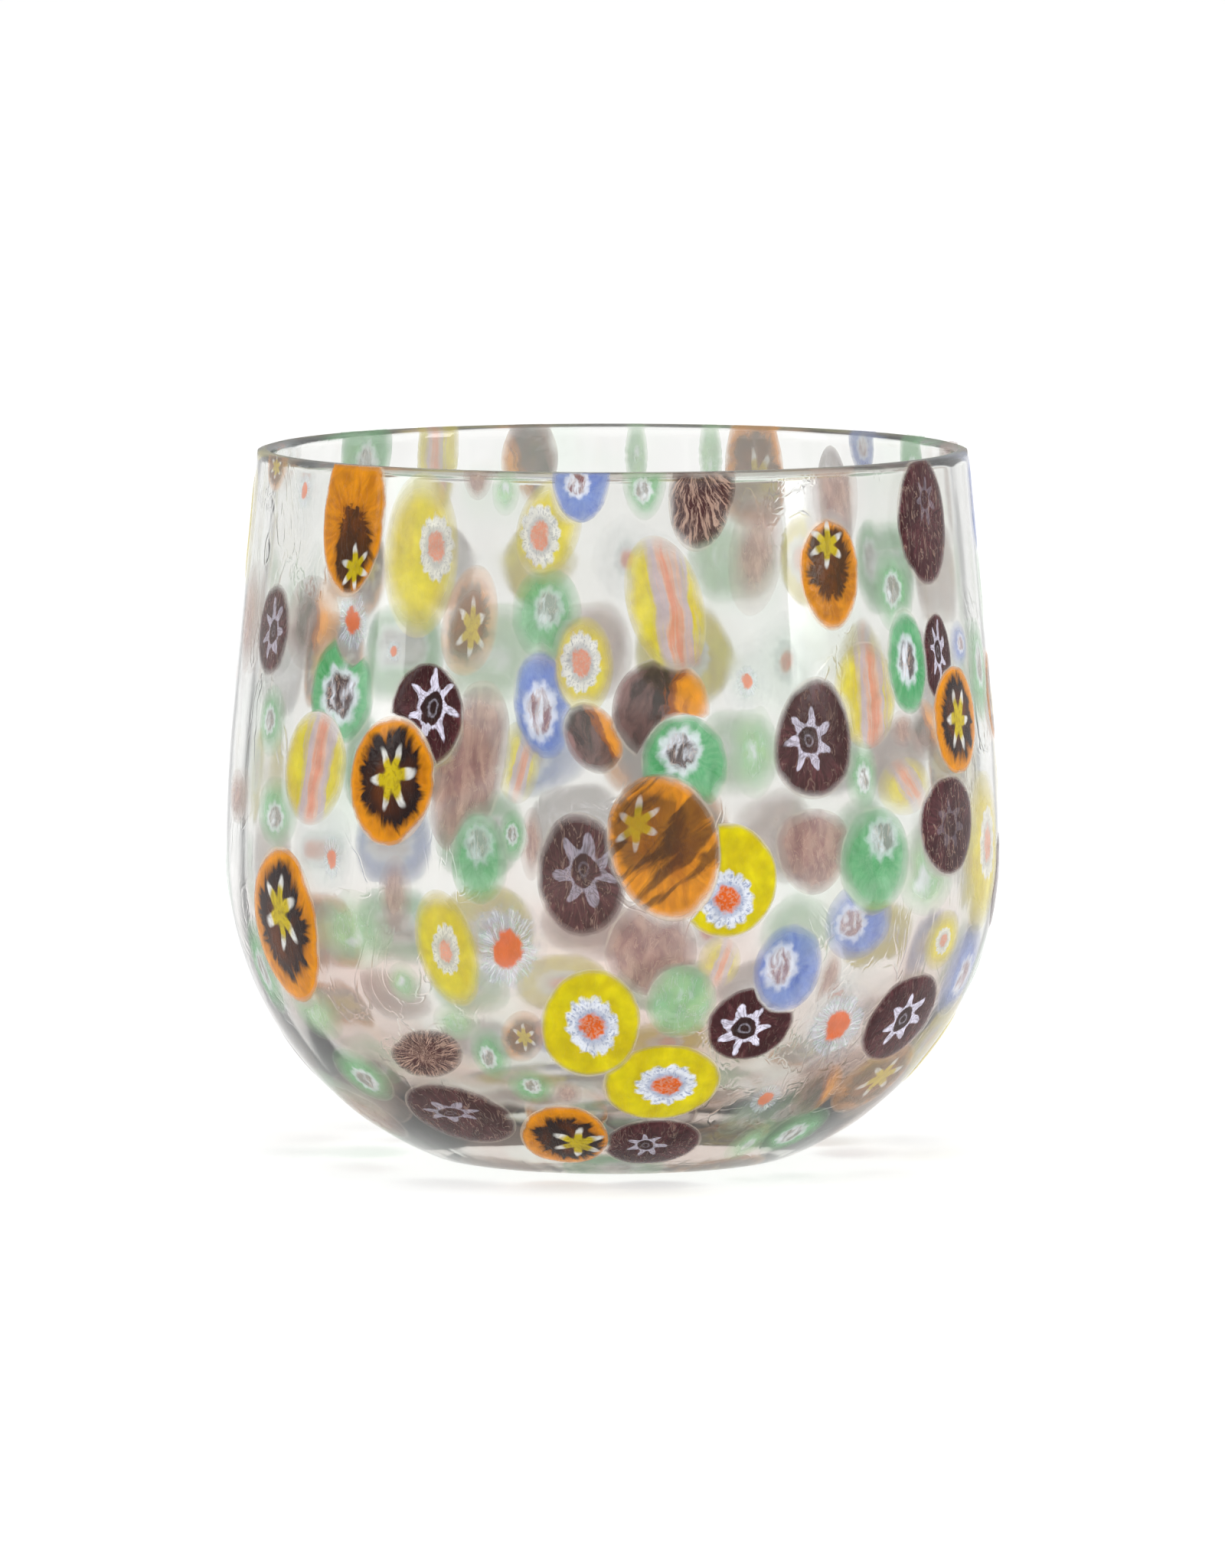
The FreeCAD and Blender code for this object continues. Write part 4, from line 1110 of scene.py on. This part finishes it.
def yellow_flower_cane():
    """Opaque yellow round a lacy white flower with an orange red eye."""
    cane = Cane("Yellow Flower Cane", 0.14, 0.35, creases=0.3)
    petals, rays, eye, flecks = flower_masks(cane, 13.0, 0.26)
    white = cane.blend(rays * flecks, "petal", "slate")
    white = cane.blend(cane.ring(0.36, 0.54, 0.08) * 0.6, white, "slate")
    colour = cane.blend(cane.cloud * 0.7, "lemon", "mustard")
    colour = cane.blend(petals * cane.showing, colour, white)
    heart = cane.blend(flecks * 0.45, "coral", "blush")
    colour = cane.blend(eye * cane.showing, colour, heart)
    return cane.finish(colour, 0.99, painted_glow=0.05)


def yellow_stripe_cane():
    """Yellow flower cane seen from its side: yellow, grey, orange, grey and yellow bands."""
    cane = Cane("Yellow Stripe Cane", 0.2, 0.3, creases=0.4)
    ash = cane.blend(0.55, "slate", "blush")
    yellow = cane.blend(cane.cloud * 0.8, "lemon", "mustard")
    colour = cane.bands((cane.grain(6.0, 0.5) - 0.5) * 0.6 + cane.across, yellow, (
        (-0.42, -0.14, 1.0, ash), (-0.12, 0.02, 1.0, "blush"), (-0.06, 0.16, 0.55, "coral"),
        (0.16, 0.4, 1.0, "blush"), (0.34, 0.52, 1.0, ash), (0.5, 0.74, 1.0, yellow)))
    return cane.finish(colour, 0.88, melt=0.8)


def eye_cane(name, bold, thin, iris):
    """A clear rim of colour round a white ring and a streaked dark eye."""
    cane = Cane(name, 0.26, 0.55)
    step, showing = cane.tree.step, cane.showing
    shade = cane.cloud * 0.4 + cane.fibres(4.0, 2.0)["Fibre"] * 0.25
    colour = cane.blend(shade, bold, thin)
    ragged = cane.lace(4.5, 3.0) * 0.3 + cane.heart
    ring = cane.star(ragged, 9.0, 0.88, 1.3, 0.16)
    colour = cane.blend(ring * (showing * 0.85), colour, "petal")
    pupil = cane.blend(step(cane.grain(1.6, 0.8, 1.5), 0.42, 0.66), iris, "petal")
    pupil = cane.blend(cane.crease * 0.5, pupil, "blush")
    colour = cane.blend(step(ragged, 0.62, 0.84, 1.0, 0.0) * showing, colour, pupil)
    return cane.finish(colour, step(cane.rim, 0.3, 1.0, 0.9, 0.76), melt=0.8)


def green_eye_cane():
    """Green rim, white ring and aubergine eye."""
    return eye_cane("Green Eye Cane", "emerald", "moss", "aubergine")


def blue_eye_cane():
    """Blue rim, white ring and plum eye."""
    return eye_cane("Blue Eye Cane", "periwinkle", "haze", "plum")


def clear_flower_cane():
    """Nearly clear glass with thin white petals and a red eye."""
    cane = Cane("Clear Flower Cane", 0.16, 0.4, creases=0.7)
    petals, rays, eye, flecks = flower_masks(cane, 9.0, 0.36)
    colour = cane.blend(rays, "slate", "petal")
    colour = cane.blend(flecks * 0.4, colour, "moss")
    colour = cane.blend(eye, colour, "coral")
    white = cane.tree.larger(petals * (rays * 0.4 + 0.26), cane.crease * 0.4)
    return cane.finish(colour, cane.tree.larger(white, eye * 0.7 + 0.14), melt=0.7)


def jade_cane():
    """Milky pale green with a lighter middle."""
    cane = Cane("Jade Cane", 0.3, 0.6, creases=0.6)
    step = cane.tree.step
    colour = cane.blend(cane.cloud * 0.6, "jade", "moss")
    colour = cane.blend(step(cane.heart, 0.2, 0.7, 0.8, 0.0) * cane.cloud, colour, "petal")
    colour = cane.blend(cane.crease * 0.3, colour, "petal")
    return cane.finish(colour, step(cane.rim, 0.2, 1.0, 0.74, 0.6), melt=0.7)


def mauve_cane():
    """Smoky mauve with creases and pale streaks. A slice that shows its heart fully is darker."""
    cane = Cane("Mauve Cane", 0.3, 0.6, creases=0.9)
    step = cane.tree.step
    deep = step(cane.showing, 0.8, 1.0)
    fan = step(cane.fibres(12.0, 0.8, "Heart")["Fibre"], 0.45, 0.9, 0.0, 0.7)
    colour = cane.blend(cane.cloud * 0.6, "smoke", "plum")
    colour = cane.blend(step(cane.grain(1.6, 0.8, 1.4), 0.35, 0.7, 0.0, 0.5), colour, "blush")
    colour = cane.blend(deep * 0.92, colour, "aubergine")
    colour = cane.blend(fan * deep, colour, "blush")
    colour = cane.blend(cane.crease * 0.4, colour, "blush")
    cover = deep * 0.14 + step(cane.rim, 0.2, 1.0, 0.84, 0.7)
    return cane.finish(colour, cover, melt=0.75, relief=0.6)


# The kinds of cane, in the order in which they are built.
CANES = {
    "amber_star": amber_star_cane, "amber_stripe": amber_stripe_cane,
    "aubergine_star": aubergine_star_cane, "blue_eye": blue_eye_cane,
    "clear_flower": clear_flower_cane, "green_eye": green_eye_cane, "jade": jade_cane,
    "mauve": mauve_cane, "yellow_flower": yellow_flower_cane,
    "yellow_stripe": yellow_stripe_cane,
}


def clear_glass_material(glass):
    """Clear blown glass. Light from lamps and soft bounces goes straight through it, so that the
    slices inside the wall are lit as they are in thin glass."""
    material, tree = new_material("Clear Blown Glass")
    step, noise = tree.step, tree.noise
    place = tree.object_place()
    across, away, up = tree.split(place)
    turn = tree.math("ARCTAN2", across, away)
    upright = tree.join(tree.math("SINE", turn) * 9.0, tree.math("COSINE", turn) * 9.0, up * 22.0)
    hammer = noise(place, 170.0, 1.0, 0.2)
    height = noise(upright, 0.8, 1.0, 0.2) + hammer * 0.25
    height = noise(place, 900.0, 2.0) * 0.01 + height
    thread = noise(tree.join(across, away, up * 0.6), 95.0, 3.0, 0.8)
    thread = step(abs(thread - 0.5), 0.0, 0.02, 0.3, 0.0)
    height = thread * step(noise(place, 30.0, 1.0), 0.5, 0.65) + height
    bump = tree.add("ShaderNodeBump", {"Height": height, "Strength": 0.12,
                                       "Distance": WALL_RELIEF})
    lip = MEASURED["height"]
    ground = step(up, LIP_START * lip, lip, 0.0, 0.5)
    rough = tree.larger(step(hammer, 0.3, 0.7, 0.04, 0.08), ground)
    pink = step(noise(place, 34.0, 3.0, 0.8), 0.42, 0.62) * step(up, glass.smear_top, 0.0, 0.0, 0.75)
    green = step(noise(tree.join(across, away, up + 3.0), 42.0, 2.0), 0.54, 0.68, 0.0, 0.22)
    colour = tree.blend(green, glass.tint, glass.green_smear)
    colour = tree.blend(pink, colour, glass.pink_smear)
    shader = tree.add("ShaderNodeBsdfPrincipled", {
        "Base Color": colour, "Transmission Weight": 1.0, "IOR": GLASS_IOR,
        "Roughness": rough, "Normal": bump[0]})[0]
    through = tree.add("ShaderNodeBsdfTransparent", {"Color": (0.97, 0.98, 0.97, 1.0)})[0]
    path = tree.add("ShaderNodeLightPath")
    for ray in ("Is Diffuse Ray", "Is Shadow Ray"):
        shader = tree.add("ShaderNodeMixShader", {0: path[ray], 1: shader, 2: through})[0]
    deep = tree.add("ShaderNodeVolumeAbsorption", {"Color": (*glass.deep, 1.0),
                                                   "Density": glass.absorption})[0]
    tree.add("ShaderNodeOutputMaterial", {"Surface": shader, "Volume": deep})
    return material


def floor_material(studio):
    """Plain pale floor with the faintest grain."""
    material, tree = new_material("Pale Floor")
    pale = tuple(studio.floor_colour)
    grain = tree.noise(tree.object_place(), 40.0, 3.0)
    colour = tree.blend(grain * 0.04, pale, [0.9 * part for part in pale])
    shader = tree.add("ShaderNodeBsdfPrincipled", {
        "Base Color": colour, "Roughness": 0.9, "Specular IOR Level": 0.1,
        "Emission Color": (1.0, 1.0, 1.0, 1.0), "Emission Strength": studio.floor_glow})
    tree.add("ShaderNodeOutputMaterial", {"Surface": shader[0]})
    return material


def aim(item, target):
    """Turns a camera or a light so that it looks at a point."""
    item.rotation_euler = (Vector(target) - item.location).to_track_quat("-Z", "Y").to_euler()


def add_camera(studio):
    """The camera at its viewing angle, looking at the bowl's middle."""
    data = bpy.data.cameras.new("Camera")
    data.lens = studio.lens
    camera = link("Camera", data)
    camera.location = (0.0, -studio.camera_distance, studio.camera_height)
    aim(camera, (0.0, 0.0, studio.aim_height))
    bpy.context.scene.camera = camera


def add_light(name, azimuth, distance, level, width, height, facing, power):
    """A soft light at an azimuth in degrees from the bowl's front and a level, facing a height on
    the bowl's axis."""
    data = bpy.data.lights.new(name, "AREA")
    data.shape = "RECTANGLE"
    data.size, data.size_y = width, height
    data.energy = power
    light = link(name, data)
    turn = math.radians(azimuth)
    light.location = (distance * math.sin(turn), -distance * math.cos(turn), level)
    aim(light, (0.0, 0.0, facing))
    light.visible_camera = False
    light.visible_transmission = False


def white_studio(studio):
    """White surroundings: full white behind the bowl, softer white before and above it."""
    world = bpy.data.worlds.new("White Studio")
    bpy.context.scene.world = world
    world.use_nodes = True
    world.node_tree.nodes.clear()
    tree = Tree(world.node_tree)
    _, away, up = tree.split(tree.add("ShaderNodeTexCoord")["Generated"])
    shade = tree.step(away, -0.3, 0.5, 0.78, 1.0) * tree.step(up, 0.25, 0.9, 1.0, 0.86)
    path = tree.add("ShaderNodeLightPath")
    direct = tree.larger(path["Is Camera Ray"], path["Is Transmission Ray"])
    sky = tree.add("ShaderNodeBackground", {"Color": (1.0, 1.0, 1.0, 1.0),
                                            "Strength": tree.larger(shade, direct) * studio.sky})
    tree.add("ShaderNodeOutputWorld", {"Surface": sky[0]})


def floor_mesh(size):
    """A level disc just under the foot, its rim (half size) times (cos, sin) of even angles."""
    angle = even_angles(FLOOR_SIDES)
    level = CAD_BOX[0].z - FLOOR_GAP
    rim = np.stack([size / 2 * np.cos(angle), size / 2 * np.sin(angle), 0 * angle + level], -1)
    points = np.concatenate([rim, [[0.0, 0.0, level]]])
    triangles = fan_faces(FLOOR_SIDES, 0, FLOOR_SIDES, False)
    return make_mesh("pale_floor", points, np.zeros((0, 4), int), triangles)


class MURRINE_OT_clear_wall(bpy.types.Operator):
    """Builds the clear blown wall with its lip, floor and foot"""

    bl_idname = "murrine.clear_wall"
    bl_label = "Clear Wall"

    def execute(self, context):
        glass = context.scene.murrine_glass
        mesh = clear_wall_mesh(Section(glass), glass)
        add_piece("clear_blown_wall", mesh, clear_glass_material(glass), "clear_glass", BOWL_NODE)
        return {"FINISHED"}


class MURRINE_OT_slices(bpy.types.Operator):
    """Builds the pieces of one kind of cane"""

    bl_idname = "murrine.slices"
    bl_label = "Slices"

    kind: EnumProperty(name="Kind", description="Kind of cane", items=[
        (kind, kind.replace("_", " ").title(), cane.__doc__) for kind, cane in CANES.items()])

    def execute(self, context):
        build_slices(self.kind, CANES[self.kind]())
        return {"FINISHED"}


class MURRINE_OT_stage(bpy.types.Operator):
    """Sets up the white studio: floor, soft lights and camera"""

    bl_idname = "murrine.stage"
    bl_label = "Studio"

    def execute(self, context):
        studio = context.scene.murrine_studio
        white_studio(studio)
        floor = link("pale_floor", floor_mesh(studio.floor_size))
        floor.data.materials.append(floor_material(studio))
        for name, setting, share, *placing in LIGHTS:
            add_light(name, *placing, getattr(studio, setting) * share)
        add_camera(studio)
        context.scene.view_settings.view_transform = "Standard"
        context.scene.cycles.transparent_max_bounces = 32
        context.scene.cycles.max_bounces = 20
        context.scene.cycles.transmission_bounces = 20
        return {"FINISHED"}


class MURRINE_PT_panel(bpy.types.Panel):
    """Sizes, colours and the steps that build the bowl"""

    bl_idname = "MURRINE_PT_panel"
    bl_label = "Murrine Bowl"
    bl_space_type = "VIEW_3D"
    bl_region_type = "UI"
    bl_category = "Murrine"

    def draw(self, context):
        layout = self.layout
        layout.operator("murrine.clear_wall")
        for kind in CANES:
            layout.operator("murrine.slices", text=kind.replace("_", " ").title()).kind = kind
        layout.operator("murrine.stage")
        for settings in (context.scene.murrine_glass, context.scene.murrine_slices,
                         context.scene.murrine_studio):
            box = layout.box()
            for name in settings.__annotations__:
                box.prop(settings, name)


SETTINGS = (
    ("murrine_glass", MURRINE_PG_glass),
    ("murrine_slices", MURRINE_PG_slices),
    ("murrine_studio", MURRINE_PG_studio),
)


CLASSES = (MURRINE_OT_clear_wall, MURRINE_OT_slices, MURRINE_OT_stage, MURRINE_PT_panel)


def register():
    for name, group in SETTINGS:
        bpy.utils.register_class(group)
        setattr(bpy.types.Scene, name, PointerProperty(type=group))
    for item in CLASSES:
        bpy.utils.register_class(item)


def unregister():
    for item in reversed(CLASSES):
        bpy.utils.unregister_class(item)
    for name, group in reversed(SETTINGS):
        delattr(bpy.types.Scene, name)
        bpy.utils.unregister_class(group)


def main():
    """Builds every piece and the stage, and writes the two boxes."""
    register()
    bpy.ops.murrine.clear_wall()
    for kind in CANES:
        bpy.ops.murrine.slices(kind=kind)
    bpy.ops.murrine.stage()


if __name__ == "__main__":
    main()
